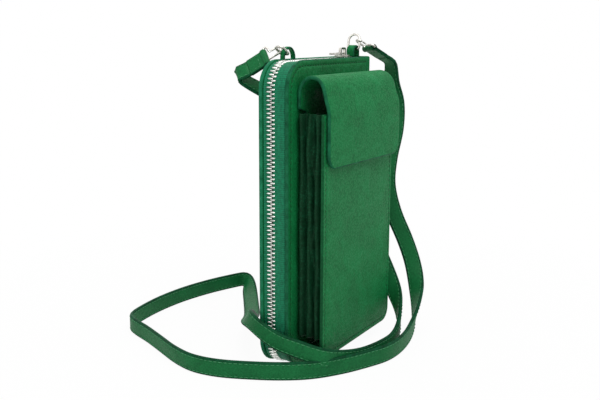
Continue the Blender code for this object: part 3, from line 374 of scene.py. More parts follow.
def readAlong(path, *fields, pitch, start=0.5):
    # places at an even pitch along a polyline, with the fields read at the same places
    run = runAlong(path)
    at = np.arange(start * pitch, run[-1] - 0.3 * pitch, pitch)
    return [readAt(at, run, f) for f in (path, *fields)], at


stitchSet = {"pitch": 3.3, "long": 2.7, "thick": 0.34}


def putStitches(name, rows, look, body, sink=0.12):
    # a thread of radius thick * sqrt(sin pi t) that rises out of the leather and dips at both its ends
    s = stitchSet
    t = np.linspace(0.02, 0.98, 6)[:, None]
    angle = np.radians(np.arange(6) * 60)[None]
    radius = s["thick"] * np.sqrt(np.sin(np.pi * t))
    shape = np.stack(((t - 0.5) * s["long"] + 0 * angle, radius * np.cos(angle),
                      radius * np.sin(angle) * 0.8 + 0.3 * np.sin(np.pi * t) - sink - 0.1), -1).reshape(-1, 3)
    allPoints, allFaces, count = [], [], 0
    for path, normal in rows:
        (places, normals), at = readAlong(path, normal, pitch=s["pitch"])
        run = runAlong(path)
        along = unit(readAt(at + 0.6, run, path) - readAt(at - 0.6, run, path))
        normals = unit(normals - along * (normals * along).sum(1, keepdims=True))
        points, faces = repeated(shape, gridFaces(6, 6), places, along, np.cross(normals, along), normals)
        allPoints.append(points)
        allFaces.append(faces + count)
        count += len(points)
    return putPiece(name, np.concatenate(allPoints), np.concatenate(allFaces), look, body)


def rounded(points, times):
    # corners cut at a quarter of each side, again and again, which leaves a smooth bend
    p = np.asarray(points, float)
    for _ in range(times):
        cut = np.stack((0.75 * p[:-1] + 0.25 * p[1:], 0.25 * p[:-1] + 0.75 * p[1:]), 1).reshape(-1, p.shape[1])
        p = np.concatenate((p[:1], cut, p[-1:]))
    return p


def wire(path, normal, diameter, closed=False, sides=14):
    # a round wire: across = normal x direction; the open ends are domed by sqrt(1 - k^2)
    path = np.asarray(path, float)
    along = unit(np.roll(path, -1, 0) - np.roll(path, 1, 0)) if closed else unit(np.gradient(path, axis=0))
    scale = np.ones(len(path))
    if not closed:
        dome = np.array((1.0, 0.92, 0.7, 0.35)) * diameter / 2
        shrink = np.sqrt(1 - (dome / (diameter / 2)) ** 2 * 0.98)
        first = path[0] + along[0] * (diameter / 2 - dome)[:, None]
        last = path[-1] - along[-1] * (diameter / 2 - dome[::-1])[:, None]
        keepStart = ((path - path[0]) @ along[0] > diameter / 2) | (np.arange(len(path)) > len(path) // 2)
        keepEnd = ((path[-1] - path) @ along[-1] > diameter / 2) | (np.arange(len(path)) < len(path) // 2)
        middle = keepStart & keepEnd
        path = np.concatenate((first, path[middle], last))
        along = np.concatenate((np.repeat(along[:1], 4, 0), along[middle], np.repeat(along[-1:], 4, 0)))
        scale = np.concatenate((shrink, np.ones(middle.sum()), shrink[::-1]))
    t = np.radians(np.arange(sides) * 360 / sides)
    circle = np.stack((np.cos(t), np.sin(t)), 1)[None] * (scale * diameter / 2)[:, None, None]
    normal = np.broadcast_to(np.asarray(normal, float), path.shape)
    return sweep(path, np.cross(normal, along), normal, circle, closed)


# each hook's own frame: along the strap's end, across it, and the axis of the gate
seats = {
    "left": {"origin": (-30.889, 0.852, 201.456), "way": (-0.2801, 0.8003, -0.5302),
             "width": (0.4245, 0.5986, 0.6793), "third": (0.8610, -0.0348, -0.5074)},
    "right": {"origin": (50.352, -11.82, 205.999), "way": (0.7517, -0.4510, -0.4811),
              "width": (-0.4566, -0.8824, 0.1138), "third": (-0.4759, 0.1341, -0.8692)},
}
strapSet = {"width": 12.0, "thick": 2.5, "step": 2.6, "length": 1.225, "fold": 12.3, "lead": 15.0,
            "stitchIn": 1.7}
# the place and the width's direction at each point of the route, from the right hook round to the left one
strapRoute = np.array((
    (80.4, -25.3, 175.6, 0, -1, 0), (83.2, -28, 160.4, .4, -.9, 0), (79.5, -29.7, 142.2, .65, -.75, 0),
    (72.8, -28.5, 122.7, .6, -.8, 0), (68, -29.3, 103, .6, -.8, 0), (69.7, -34.1, 82.1, .58, -.8, 0),
    (74.4, -41.4, 62, .55, -.8, .1), (74.5, -48.2, 44.6, .5, -.75, .3), (66.9, -54.8, 29.4, .3, -.6, .6),
    (51.6, -61.1, 17.5, .1, -.3, .9), (37, -64.2, 8.8, 0, 0, 1), (15.4, -67, 6.3, 0, 0, 1),
    *((x, y, 6.2, 0, 0, 1) for x, y in (
        (-5.7, -66.1), (-24.2, -59.1), (-41.5, -50.1), (-57.5, -38.1), (-68.9, -23), (-78, -4.8), (-84.8, 13.8),
        (-86.1, 32), (-80.7, 50.2), (-70.8, 70.4), (-60.9, 90.7), (-53.4, 108.4), (-46.3, 118), (-31.7, 122.6),
        (-6, 125.8), (22.7, 125), (51.2, 119.6))),
    (75.2, 111.2, 6.3, 0, 0, 1), (82.2, 106.3, 6.6, .15, -.15, .97), (76.8, 99.1, 5.6, .45, -.45, .7),
    (62.6, 88.2, 3, .65, -.7, .2), (42.8, 73.8, 1.8, .65, -.75, 0), (21.1, 58.6, 2.4, .63, -.76, .05),
    (-3.1, 43.9, 9, .5, -.75, .2), (-31.5, 26.3, 21.1, .3, -.6, .55), (-53.2, 11.5, 29.7, .05, -.35, .9),
    (-61.7, -1.5, 28.1, 0, -.1, 1), (-61.8, -15.3, 22.1, 0, 0, 1), (-59.6, -29, 18.8, 0, 0, 1),
    (-52.8, -42.4, 13.8, 0, 0, 1), (-40, -48.4, 9.5, 0, 0, 1), (-22.8, -54.4, 6.6, 0, 0, 1),
    (-3.1, -59, 6.2, 0, 0, 1), (15.8, -59.9, 6.8, 0, 0, 1), (31.2, -57.3, 12.2, .05, 0, 1),
    (45.6, -50, 21.2, .2, -.1, .9), (55.3, -39.7, 34, .35, -.3, .6), (61.5, -27.7, 50.7, .4, -.45, .5),
    (64.1, -15.8, 70.1, .3, -.4, .5), (64.7, -4.8, 92.2, .1, -.4, .5), (61.7, 4.1, 113.9, -.1, -.3, .6),
    (49.9, 7.4, 135.2, .3, 0, .8), (29.4, 7.6, 152.5, .5, 0, .8), (5.1, 8.5, 164.8, .5, 0, .8),
    (-17.1, 11.3, 169.4, .5, .3, .75)))


def strapLead(seat):
    # the first three places run straight on from the folded end, at 0, 0.3 and 0.6 of the lead
    origin, way, width = (np.array(seat[k]) for k in ("origin", "way", "width"))
    start = origin + way * (hookSet["bar"] + strapSet["fold"])
    return np.array([np.r_[start + way * strapSet["lead"] * k, width] for k in (0, 0.3, 0.6)])


def smoothRoute(known, step):
    # Catmull-Rom: half of 2 p1 + (p2 - p0) t + (2 p0 - 5 p1 + 4 p2 - p3) t^2 + (3 p1 - p0 - 3 p2 + p3) t^3
    p = np.vstack((2 * known[0] - known[1], known, 2 * known[-1] - known[-2]))
    t = np.linspace(0, 1, 12, endpoint=False)[None, :, None]
    p0, p1, p2, p3 = (p[i:len(p) - 3 + i, None] for i in range(4))
    fine = 0.5 * (2 * p1 + (p2 - p0) * t + (2 * p0 - 5 * p1 + 4 * p2 - p3) * t ** 2
                  + (3 * p1 - p0 - 3 * p2 + p3) * t ** 3)
    fine = np.vstack((fine.reshape(-1, known.shape[1]), p[-2]))
    run = runAlong(fine[:, :3])
    return readAt(np.linspace(0, run[-1], int(round(run[-1] / step)) + 1), run, fine)


def makeStrap():
    # the band is a flat stadium section swept along the route, with a sewn line near each edge of both faces
    s = strapSet
    known = np.vstack((strapLead(seats["right"]), strapRoute, strapLead(seats["left"])[::-1]))
    read = smoothRoute(known, s["step"])
    soften(read, 2)
    path = read[:, :3]
    along = unit(np.gradient(path, axis=0))
    along[0], along[-1] = seats["right"]["way"], -np.array(seats["left"]["way"])
    ways = unit(read[:, 3:] - along * (read[:, 3:] * along).sum(1, keepdims=True))
    through = np.cross(along, ways)
    half, thick = s["width"] / 2, s["thick"] / 2
    seam = half - s["stitchIn"]
    spots = np.array((-1, -0.97, -0.905, -0.84, -0.6, -0.2, 0.2, 0.6, 0.84, 0.905, 0.97, 1))
    section = stadium(half, thick, spots, 5, seam, 0.22)
    points, faces = sweep(path, ways, through, section)
    marked = edgeColumns(len(spots), 5, len(path) - 1)
    strap = putPiece("strap_band", points, faces, "strapLeather", "back", ("strap",),
                     "strapEdge", marked)
    rows = []
    for face in (1, -1):
        for edge in (1, -1):
            rows.append((path + ways * seam * edge + through * thick * face, through * face))
    threads = putStitches("strap_stitches", rows, "strapThread", "back", 0.16)
    return strap, threads, path


def inSeat(seat, points):
    # a point (a, b, c) of the hook's own frame = origin + way * a + width * b + third * c
    axes = np.array([seat[k] for k in ("way", "width", "third")])
    return np.array(seat["origin"]) + np.asarray(points, float) @ axes


hookSet = {"wire": 1.5, "gate": 1.25, "claw": 2.6, "gateRun": 4.2, "clawLength": 7.6, "shoulder": 8.15, "eye": 7.7,
           "bar": 11.6}


def makeHook(side):
    # one wire: from the gate round the bar to the claw's tip; the gate is a straight sprung wire
    s, seat = hookSet, seats[side]
    claw = s["claw"]
    t = np.radians(np.linspace(270, 90, 13))
    corner = [(claw + s["gateRun"], claw), (s["clawLength"], claw), (s["shoulder"], s["eye"]), (s["bar"], s["eye"]),
              (s["bar"], -s["eye"]), (s["shoulder"], -s["eye"]), (s["clawLength"], -claw)]
    bends = rounded(np.array(corner), 3)
    tip = np.stack((claw + claw * np.cos(t), claw * np.sin(t)), 1)
    line = np.concatenate((bends, tip))
    flat = np.c_[line, np.zeros(len(line))]
    normal = np.array(seat["third"])
    points, faces = wire(inSeat(seat, flat), normal, s["wire"])
    hook = putPiece("clip_" + side, points, faces, "nickel", "back", ("hook_" + side,))
    run = np.linspace(claw + 0.3, claw + s["gateRun"] - 0.3, 9)
    points, faces = wire(inSeat(seat, np.c_[run, np.full(9, claw), np.zeros(9)]), normal, s["gate"])
    gate = putPiece("clip_gate_" + side, points, faces, "nickel", side + "_gate", ("gate_" + side,))
    return hook, gate


endSet = {"nose": 1.75, "layer": 0.63, "long": 12.0, "thick": 1.2, "seam": 4.3, "seamTurn": 4.2, "face": 1.24}


def makeStrapEnd(side):
    # a strip of half the strap's thickness, folded round the hook's bar and sewn flat on itself
    s, seat = endSet, seats[side]
    origin = inSeat(seat, (hookSet["bar"], 0, 0))
    way, width = np.array(seat["way"]), np.array(seat["width"])
    out = np.cross(width, way)
    t = np.radians(np.linspace(28, 332, 25))
    nose = s["nose"] * np.stack((np.cos(t), np.sin(t)), 1)
    run, layer = np.linspace(s["long"], 2.6, 12), np.full(12, s["layer"])
    line = np.concatenate((np.c_[run, layer], nose, np.c_[run[::-1], -layer]))
    line = rounded(line, 2)
    path = origin + line[:, :1] * way + line[:, 1:] * out
    along = unit(np.gradient(path, axis=0))
    spots = np.array((-1, -0.9, -0.75, -0.4, 0, 0.4, 0.75, 0.9, 1))
    points, faces = sweep(path, width, np.cross(along, width),
                          stadium(strapSet["width"] / 2, s["thick"] / 2, spots, 3))
    end = putPiece("strap_fold_" + side, points, faces, "strapLeather", "back", ("strap_end_" + side,),
                   "strapEdge", edgeColumns(len(spots), 3, len(path) - 1))
    rows, seam = [], s["seam"]
    for face in (1, -1):
        lift = out * s["face"] * face
        lines = [origin + way * np.linspace(3.4, 12, 12)[:, None] + width * seam * edge + lift for edge in (1, -1)]
        lines.append(origin + way * s["seamTurn"] + width * np.linspace(-seam, seam, 12)[:, None] + lift)
        rows += [(line, np.tile(out * face, (12, 1))) for line in lines]
    threads = putStitches("strap_fold_stitches_" + side, rows, "strapThread", "back", 0.1)
    return [end, threads]


strap, strapThreads, strapPath = makeStrap()
strapPieces = [strapThreads]
for side in ("left", "right"):
    strapPieces += makeHook(side)
    strapPieces += makeStrapEnd(side)
print("strap and hooks ready")


# the outline that covers, spine and zip share; backY and frontY are the outer faces
outerSet = {"left": -56.0, "high": 195.0, "backY": 1.3, "frontY": -20.1, "chainY": -7.0, "coverThick": 2.6,
            "zipRadius": 18.0, "seam": 52.35, "stitchIn": 3.6, "stitchEnd": 50.0,
            "radii": (18.0, 3.0, 3.0, 18.0)}
spineSet = {"halfThick": 1.1, "bend": 2.3, "bendX": 52.6, "startX": 52.42, "wallX": 54.9, "foldGap": 0.12,
            "strip": 4.4, "stripThick": 0.7, "stripX": 55.5, "stripEnd": 0.6}


def zipLine(inset, footX, topX):
    # foot edge to the zip corner (-38, 18), round it, up the zip side, round (-38, 177) and along the top
    low = outerSet["zipRadius"]
    r, cx, high = low - inset, outerSet["left"] + low, outerSet["high"] - low
    foot = np.arange(footX, cx, -1.0)
    side = np.arange(low, high, 1.0)
    top = np.append(np.arange(cx, topX, 1.0), topX)
    turn = np.linspace(0, 90, 26)[1:-1]
    a, b = np.radians(270 - turn), np.radians(180 - turn)
    x = np.concatenate((foot, cx + r * np.cos(a), np.full(len(side), cx - r), cx + r * np.cos(b), top))
    z = np.concatenate((np.full(len(foot), inset), low + r * np.sin(a), side, high + r * np.sin(b),
                        np.full(len(top), outerSet["high"] - inset)))
    nx = np.concatenate((np.zeros(len(foot)), np.cos(a), np.full(len(side), -1.0), np.cos(b), np.zeros(len(top))))
    nz = np.concatenate((np.full(len(foot), -1.0), np.sin(a), np.zeros(len(side)), np.sin(b), np.ones(len(top))))
    return x, z, nx, nz


def makeCovers():
    # two panels with painted edges and a groove; the sewn line in it runs from the spine's foot round to its top. The
    # back panel's edge paint is lighter: painted light on that edge, which lies in shade
    o = outerSet
    for name, node, front, owner, way, paint in (("cover_front", "front_cover", o["frontY"], "front", -1.0, "edge"),
                                                 ("cover_back", "back_cover", o["backY"], "back", 1.0, "backEdgePaintedLight")):
        s = {"span": (o["left"], o["seam"], 0.0, o["high"]), "radii": o["radii"], "front": front,
             "back": front - way * o["coverThick"], "groove": o["stitchIn"], "grooveDepth": 0.42, "crown": 0.15,
             "wave": 0.06}
        putPanel(name, s, "leather", owner, (node,), paint)
        x, z, _, _ = zipLine(o["stitchIn"], o["stitchEnd"], o["stitchEnd"])
        row = np.stack((x, np.full(len(x), front), z), 1)
        putStitches(name + "_stitches", [(row, np.tile((0.0, way, 0.0), (len(x), 1)))], "thread", owner,
                    0.3)


def wallSection(middle, half):
    # the ring round a wall: middle + normal * half one way, middle - normal * half back; normal = (-dy, dx)
    d = unit(np.gradient(middle, axis=-2))
    n = np.stack((-d[..., 1], d[..., 0]), -1) * half
    return np.concatenate((middle + n, (middle - n)[..., ::-1, :]), -2)


def makeSpine():
    # each half runs level from the cover, round a quarter turn of radius 2.3 at its middle, and on to the fold;
    # its foot and top are rounded: half = 1.1 * sqrt(1 - (1 - d / 1.1)^2) at the distance d from the end
    s, high = spineSet, outerSet["high"]
    thick = s["halfThick"]
    z = np.array((0, 0.15, 0.5, thick, *np.linspace(4, high - 4, 30), high - thick, 194.5, 194.85, high))
    half = thick * np.sqrt(1 - (1 - np.clip(np.minimum(z, high - z) / thick, 0, 1)) ** 2) * 0.999 + 0.02
    for name, node, outer, way, owner in (("spine_wrap_back", "spine_back", outerSet["backY"], 1, "back"),
                                          ("spine_wrap_front", "spine_front", outerSet["frontY"], -1, "front")):
        t = np.radians(np.linspace(90, 0, 12)) * way
        centre = np.array((s["bendX"], outer - way * (s["bend"] + thick)))
        bend = centre + s["bend"] * np.stack((np.cos(t), np.sin(t)), 1)
        flat = np.array([(x, bend[0, 1]) for x in (s["startX"], s["bendX"] - 0.1)])
        fold = outerSet["chainY"] + way * s["foldGap"]
        wall = np.array([(s["wallX"], y) for y in np.linspace(bend[-1, 1], fold, 8)[1:]])
        middle = np.concatenate((flat, bend, wall))
        rings = np.stack([wallSection(middle, h) for h in half])
        path = np.c_[np.zeros(len(z)), np.zeros(len(z)), z]
        points, faces = sweep(path, (1, 0, 0), (0, 1, 0), rings)
        putPiece(name, points, faces, "leather", owner, (node,))


def makeSpineFold():
    # one strip inside both walls, lying across the fold between them
    s = spineSet
    z = np.linspace(s["stripEnd"], outerSet["high"] - s["stripEnd"], 14)
    path = np.stack((np.full(14, s["stripX"]), np.full(14, outerSet["chainY"]), z), 1)
    section = stadium(s["strip"] / 2, s["stripThick"] / 2, np.linspace(-1, 1, 23), 3)
    points, faces = sweep(path, (0, 1, 0), (1, 0, 0), section)
    piece = putPiece("spine_fold", points, faces, "leather", None)
    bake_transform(piece)


makeCovers()
makeSpine()
makeSpineFold()
print("covers and spine ready")


# the chain starts at startX on the foot edge; past tailX on the top edge it belongs to the back alone
zipSet = {"pitch": 2.6, "startX": 44.0, "tailX": 30.0, "endX": 46.0, "gap": 0.3, "middleIn": 1.7}


def tapePiece(name, nodes, y0, y1, x, z, nx, nz, puff, owner, edge):
    # a woven band that bulges by 1.7 puff clip(1.6 a - 0.6) (1 - a^4), where a is 0 at the chain and 1 at the cover;
    # beside the chain it thins by a third and runs in under the teeth by the length in edge
    half = (y1 - y0) / 2
    section = stadium(half, 0.5, np.linspace(-1, 1, 15), 3)
    a = np.clip(0.5 - np.sign(edge) * section[:, 0] / half * 0.5, 0, 1)
    section[:, 1] += puff * np.clip(1.6 * a - 0.6, 0, 1) * (1 - a ** 4) * 1.7
    path = np.stack((x, np.full(len(x), (y0 + y1) / 2), z), 1)
    out = np.stack((nx, np.zeros(len(x)), nz), 1)
    near = np.clip(1 - np.abs(section[:, 0] - np.sign(edge) * half) / 1.2, 0, 1)
    section[:, 0] += edge * near
    section[:, 1] *= 1 - 0.35 * near
    points, faces = sweep(path, (0, 1, 0), out, section)
    run = np.r_[0, np.cumsum(np.hypot(np.diff(x), np.diff(z)))]
    uv = np.stack(np.broadcast_arrays(run[:, None], section[None, :, 0]), -1)
    putPiece(name, points, faces, "tape", owner, nodes, uv=uv)


def toothShape():
    # along y from the root to the nose: (reach, half width, half height) of a rounded bar
    rows = np.array(((3.0, 0.3, 0.7), (2.9, 0.6, 1.15), (2.2, 0.66, 1.3), (1.0, 0.66, 1.3), (0.45, 0.56, 1.15),
                     (-0.1, 0.56, 0.95), (-0.55, 0.5, 0.8), (-0.72, 0.26, 0.5)))
    t = np.radians(np.arange(6) * 60 + 30)
    c, s = np.cos(t), np.sin(t)
    width = np.sign(c) * np.abs(c) ** 0.7
    height = np.sign(s) * np.abs(s) ** 0.8
    shape = np.stack((rows[:, 1:2] * width, rows[:, :1] + 0 * width, rows[:, 2:] * height), -1)
    return shape.reshape(-1, 3), gridFaces(len(rows), 6)


def putTeeth(name, nodes, line, side, owner, phase):
    # one tooth each 2.6 mm along the line, the other side's teeth half a pitch further on
    x, z, nx, nz = line
    path = np.stack((x, np.full(len(x), outerSet["chainY"]), z), 1)
    out = np.stack((nx, np.zeros(len(x)), nz), 1)
    shape, faces = toothShape()
    shape = shape * (1, side, 1)
    (places, normals), _ = readAlong(path, out, pitch=zipSet["pitch"], start=phase)
    normals = unit(normals)
    across = np.tile((0.0, 1.0, 0.0), (len(places), 1))
    points, faces = repeated(shape, faces, places, np.cross(across, normals), across, normals)
    putPiece(name, points, faces, "teeth", owner, nodes)


def makeZip():
    # two tapes and two rows of teeth on one line; the tail beyond tailX stays with the back when the front opens
    s = zipSet
    mid = s["middleIn"]
    whole, short = (zipLine(mid, s["startX"], end) for end in (s["endX"], s["tailX"] - s["gap"]))
    tapePiece("tape_back", ("zip_tape_back",), -3.9, -1.45, *whole, 0.2, "back", -2.2)
    tapePiece("tape_front", ("zip_tape_front",), -17.35, -10.1, *short, 0.5, "front", 2.2)
    x = np.linspace(s["tailX"] + s["gap"], s["endX"], 12)
    tail = x, np.full(12, outerSet["high"] - mid), np.zeros(12), np.ones(12)
    tapePiece("tape_tail", ("zip_tail_tape",), -17.2, -10.1, *tail, 0.5, "back", 2.2)
    line = zipLine(mid, s["startX"], s["tailX"])
    putTeeth("teeth_back", ("zip_chain_back",), line, 1, "back", 0.25)
    putTeeth("teeth_front", ("zip_chain_front",), line, -1, "front", 0.75)
    putTeeth("teeth_tail_back", ("zip_tail_chain",), tail, 1, "back", 0.25)
    putTeeth("teeth_tail_front", (), tail, -1, "back", 0.75)


makeZip()
print("zip ready")


# the pocket's face: half its width, its foot and top edges, and the y of its two surfaces
pocketSet = {"half": 49.0, "foot": 9.0, "top": 163.6, "face": -40.7, "inner": -38.5, "stitchIn": 3.2}


def makePocket():
    # a panel with turned edges, which take a darker copy of the leather as painted shade; its sewn line goes down one
    # side, along the foot and up the other
    s, seam = pocketSet, pocketSet["stitchIn"]
    face = {"span": (-s["half"], s["half"], s["foot"], s["top"]), "radii": (9.0, 9.0, 1.0, 1.0), "front": s["face"],
            "back": s["inner"], "groove": seam, "grooveDepth": 0.3, "crown": 0.2, "wave": 0.08}
    putPanel("pocket_face", face, "leather", "front", ("pocket_front",), "turned")
    ring = outline(face["span"], face["radii"], seam, 1.0)
    start = np.argmin(np.abs(ring[:, 0] + s["half"] - seam) + np.abs(ring[:, 1] - s["top"] + 4))
    ring = np.roll(ring, -start, 0)
    ring = ring[:np.argmin(np.abs(ring[:, 0] - s["half"] + seam) + np.abs(ring[:, 1] - s["top"] + 4)) + 1]
    row = np.stack((ring[:, 0], np.full(len(ring), s["face"]), ring[:, 1]), 1)
    putStitches("pocket_stitches", [(row, np.tile((0.0, -1.0, 0.0), (len(row), 1)))], "thread", "front",
                0.26)


gussetSet = {"x": 43.6, "fold": 4.2, "wrinkle": 0.42, "low": 22.0, "high": 163.3, "coverY": -20.9, "faceY": -37.7,
             "halfThick": 0.45}


def makeGusset(side, name, node):
    # from the cover: x + fold (1 - cos 6 pi t) / 2, three soft folds that wander as they climb; past t = 0.38
    # wrinkles of wrinkle sin(50 t + ...) lie on them, as in leather that is pressed together
    s = gussetSet
    t = np.linspace(0, 1, 73)[None]
    low, high = s["low"], s["high"]
    z = np.array((low, 22.3, 23, *np.linspace(25, 160.5, 64), 162.4, 163, high))[:, None]
    calm = np.sin(np.pi * t)
    climb = (z - low) / (high - low)
    fold = 0.5 - 0.5 * np.cos(6 * np.pi * (t + 0.018 * calm * np.sin(z / 19 + 5 * t + side)))
    depth = s["fold"] * (0.86 + 0.14 * np.sin(z / 13 + 7 * t))
    x = s["x"] + depth * fold + 0.35 * calm * np.sin(z / 6.5 + 9 * t) * (0.4 + 0.6 * climb)
    loose = np.clip((t - 0.38) / 0.15, 0, 1) * calm
    x = x + s["wrinkle"] * loose * np.sin(50 * t + 2.2 * np.sin(z / 9.5 + side) + 1.3 * np.sin(z / 4.1 + 12 * t))
    y = s["coverY"] + (s["faceY"] - s["coverY"]) * t + 0.3 * calm * np.sin(z / 9 + 11 * t)
    lip = np.linspace(39.4, 43.0, 6)[None]
    x = np.concatenate((lip + 0 * z, x, lip[:, ::-1] + 0 * z), 1)
    y = np.concatenate((0 * lip + s["coverY"] + 0 * z, y, 0 * lip + s["faceY"] + 0 * z), 1)
    middle = np.stack((side * x, y), -1)
    soften(middle.swapaxes(0, 1), 2)
    near = np.minimum(z - low, high - z)
    half = s["halfThick"] * np.sqrt(1 - (1 - np.clip(near / 0.9, 0.02, 1)) ** 2)
    section = wallSection(middle, half[:, :, None])
    path = np.c_[np.zeros((len(z), 2)), z]
    points, faces = sweep(path, (1, 0, 0), (0, 1, 0), section)
    # the gusset's dark leather look is painted shade for its recess between the cover and the pocket
    putPiece(name, points, faces, "gusset", "front", (node,))


flapSet = {"half": 46.5, "tongue": 38.6, "thick": 1.1, "corner": 9.0, "foot": 130.0, "twist": 3.8, "stitchIn": 3.4}


def flapLine():
    # the sheet's middle from its seam up over an arch of 8.85 by 10.8 and down to its lower edge, each 0.8 mm
    t = np.radians(np.linspace(0, 180, 40))
    known = np.concatenate((((-21.5, 139.6), (-21.5, 154.0), (-21.5, 168.6)),
                            np.stack((-30.35 + 8.85 * np.cos(t), 174.6 + 10.8 * np.sin(t)), 1),
                            ((-42.2, 165.1), (-42.2, 146.8), (-42.2, 130.0))))
    run = runAlong(known)
    line = readAt(np.linspace(0, run[-1], int(run[-1] / 0.8)), run, known)
    soften(line, 14)
    tail = line[-1] + np.array((0, 1.0))[None] * np.array((1.0, 0.65, 0.3, 0.08, 0.0))[:, None]
    return np.concatenate((line[:-2], tail))


def makeFlap():
    # a stadium section swept along flapLine: narrow where it is sewn, wide from the pocket's top on, with lower
    # corners sqrt(9^2 - drop^2); in front it hangs out by twist more at its right side than at its left
    s = flapSet
    line = flapLine()
    d = unit(np.gradient(line, axis=0))
    normal = np.stack((np.zeros(len(line)), d[:, 1], -d[:, 0]), 1)
    y, z = line.T
    behind = y > -40.0
    grow = np.clip((z - 163.4) / 3.2, 0, 1)
    grow = grow * grow * (3 - 2 * grow)
    drop = np.clip(s["foot"] + s["corner"] - z, 0, s["corner"])
    cornered = s["half"] - s["corner"] + np.sqrt(np.maximum(s["corner"] ** 2 - drop ** 2, 0))
    half = np.where(behind, s["tongue"] + (s["half"] - s["tongue"]) * grow, cornered)
    seam = s["half"] - s["stitchIn"]
    inner = np.array((0, 0.2, 0.4, 0.58, 0.74, 0.84, 0.9, 0.915, seam / (s["half"] - s["thick"]), 0.96, 0.98, 1))
    spots = np.concatenate((-inner[:0:-1], inner))
    base = stadium(s["half"], s["thick"], spots, 5)
    flat = np.abs(base[:, 0]) <= s["half"] - s["thick"] + 1e-6
    shrink = (half - s["thick"])[:, None] / (s["half"] - s["thick"])
    a = np.where(flat, base[:, 0] * shrink, base[:, 0] + np.sign(base[:, 0]) * (half[:, None] - s["half"]))
    end = np.minimum(z - s["foot"] + 0.02, s["thick"])
    end = np.where(behind, s["thick"], end) / s["thick"]
    edge = np.sqrt(1 - (1 - end) ** 2)
    b = base[None, :, 1] * edge[:, None]
    puff = 0.25 * np.where(behind, 0, np.clip((z - 132) / 12, 0, 1))[:, None] * (1 - (base[:, 0] / s["half"]) ** 4)
    section = np.stack((a, b + puff), -1)
    path = np.c_[np.zeros(len(line)), line]
    points, faces = sweep(path, (1, 0, 0), normal, section)
    lean = np.clip((-22.3 - points[..., 1]) / 20.6, 0, 1) * (points[..., 0] / 93 + 0.5)
    points[..., 1] -= s["twist"] * lean
    marked = edgeColumns(len(spots), 5, len(line) - 1).reshape(len(line) - 1, -1)
    marked[-4:] = 1
    piece = putPiece("flap_sheet", points, faces, "leather", None, ("flap_back", "flap_front"),
                     "edge", marked.ravel())
    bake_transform(piece)


makePocket()
makeGusset(-1, "bellows_left", "gusset_left")
makeGusset(1, "bellows_right", "gusset_right")
makeFlap()
print("pocket, gussets and flap ready")


# a tab is an arch of that half width and strip width; its ring leans by that many degrees
tabSet = {
    "left": {"x": -24.0, "y": -0.4, "half": 7.0, "width": 3.4, "lean": -58, "ringHigh": 8.8},
    "right": {"x": 50.3, "y": -8.5, "half": 4.5, "width": 6.0, "lean": 14, "ringHigh": 10.2},
}


def makeTab(side):
    # an arch over the ring: two short legs and a half turn, at the middle of the strip's thickness
    s = tabSet[side]
    r, centreZ = s["half"] - 0.7, 202.6 - s["half"]
    t = np.radians(np.linspace(180, 0, 28))
    arch = np.stack((s["x"] + r * np.cos(t), centreZ + r * np.sin(t)), 1)
    legs = np.linspace(194.7, centreZ, 5)[:-1]
    line = np.concatenate((np.c_[np.full(4, s["x"] - r), legs], arch, np.c_[np.full(4, s["x"] + r), legs[::-1]]))
    path = np.stack((line[:, 0], np.full(len(line), s["y"]), line[:, 1]), 1)
    along = unit(np.gradient(path, axis=0))
    spots = np.linspace(-1, 1, 7)
    points, faces = sweep(path, (0, 1, 0), np.cross(along, (0.0, 1.0, 0.0)), stadium(s["width"] / 2, 0.7, spots, 5))
    putPiece("tab_loop_" + side, points, faces, "leather", "back", ("tab_" + side,), "edge",
             edgeColumns(len(spots), 5, len(path) - 1))


def makeRing(side):
    # a D in the plane of y and the lean: a straight bar, two tight bends of 1.3 and a round far end
    s = tabSet[side]
    width, high, bend = s["width"] + 2.625, s["ringHigh"], 1.3
    lean = np.radians(s["lean"])
    up = np.array((np.sin(lean), 0, np.cos(lean)))
    sideways = np.array((0.0, 1.0, 0.0))
    bar = np.array((s["x"], s["y"], 202.6 - s["half"])) + up * (s["half"] - 2.55)
    half = width / 2
    low, over, back = (np.radians(np.linspace(*span)) for span in ((-90, 0, 7), (0, 180, 25), (180, 270, 7)))
    a = np.concatenate((half - bend + bend * np.cos(low), half * np.cos(over), bend - half + bend * np.cos(back)))
    b = np.concatenate((bend + bend * np.sin(low), high - half + half * np.sin(over), bend + bend * np.sin(back)))
    path = bar + a[:, None] * sideways + b[:, None] * up
    points, faces = wire(path, np.cross(sideways, up), 1.7, True)
    putPiece("d_ring_" + side, points, faces, "nickel", side + "_ring", ("ring_" + side,))


for side in ("left", "right"):
    makeTab(side)
    makeRing(side)
print("tabs and rings ready")


# look, body, corner radii, whether the seen face looks to +y, and slot; each size is read from the solid
insideSet = {
    "back_lining": ("lining", "back", (14.8, 0.6, 0.6, 14.8), 0, "lining_cloth"),
    "front_lining": ("lining", "front", (14.8, 0.6, 0.6, 14.8), 1, "lining_cloth"),
    "card_panel_1": ("inner", "back", (1.5,) * 4, 0, "inner_leather"),
    "card_panel_2": ("inner", "back", (1.5,) * 4, 0, "inner_leather"),
    "card_panel_3": ("inner", "back", (1.5,) * 4, 0, "inner_leather"),
    "coin_panel": ("inner", "front", (2.0,) * 4, 1, "inner_leather"),
}


def boxOf(node):
    # the lower and the upper corner of a solid's box, in millimetres
    return (np.array(corner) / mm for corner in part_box(node))


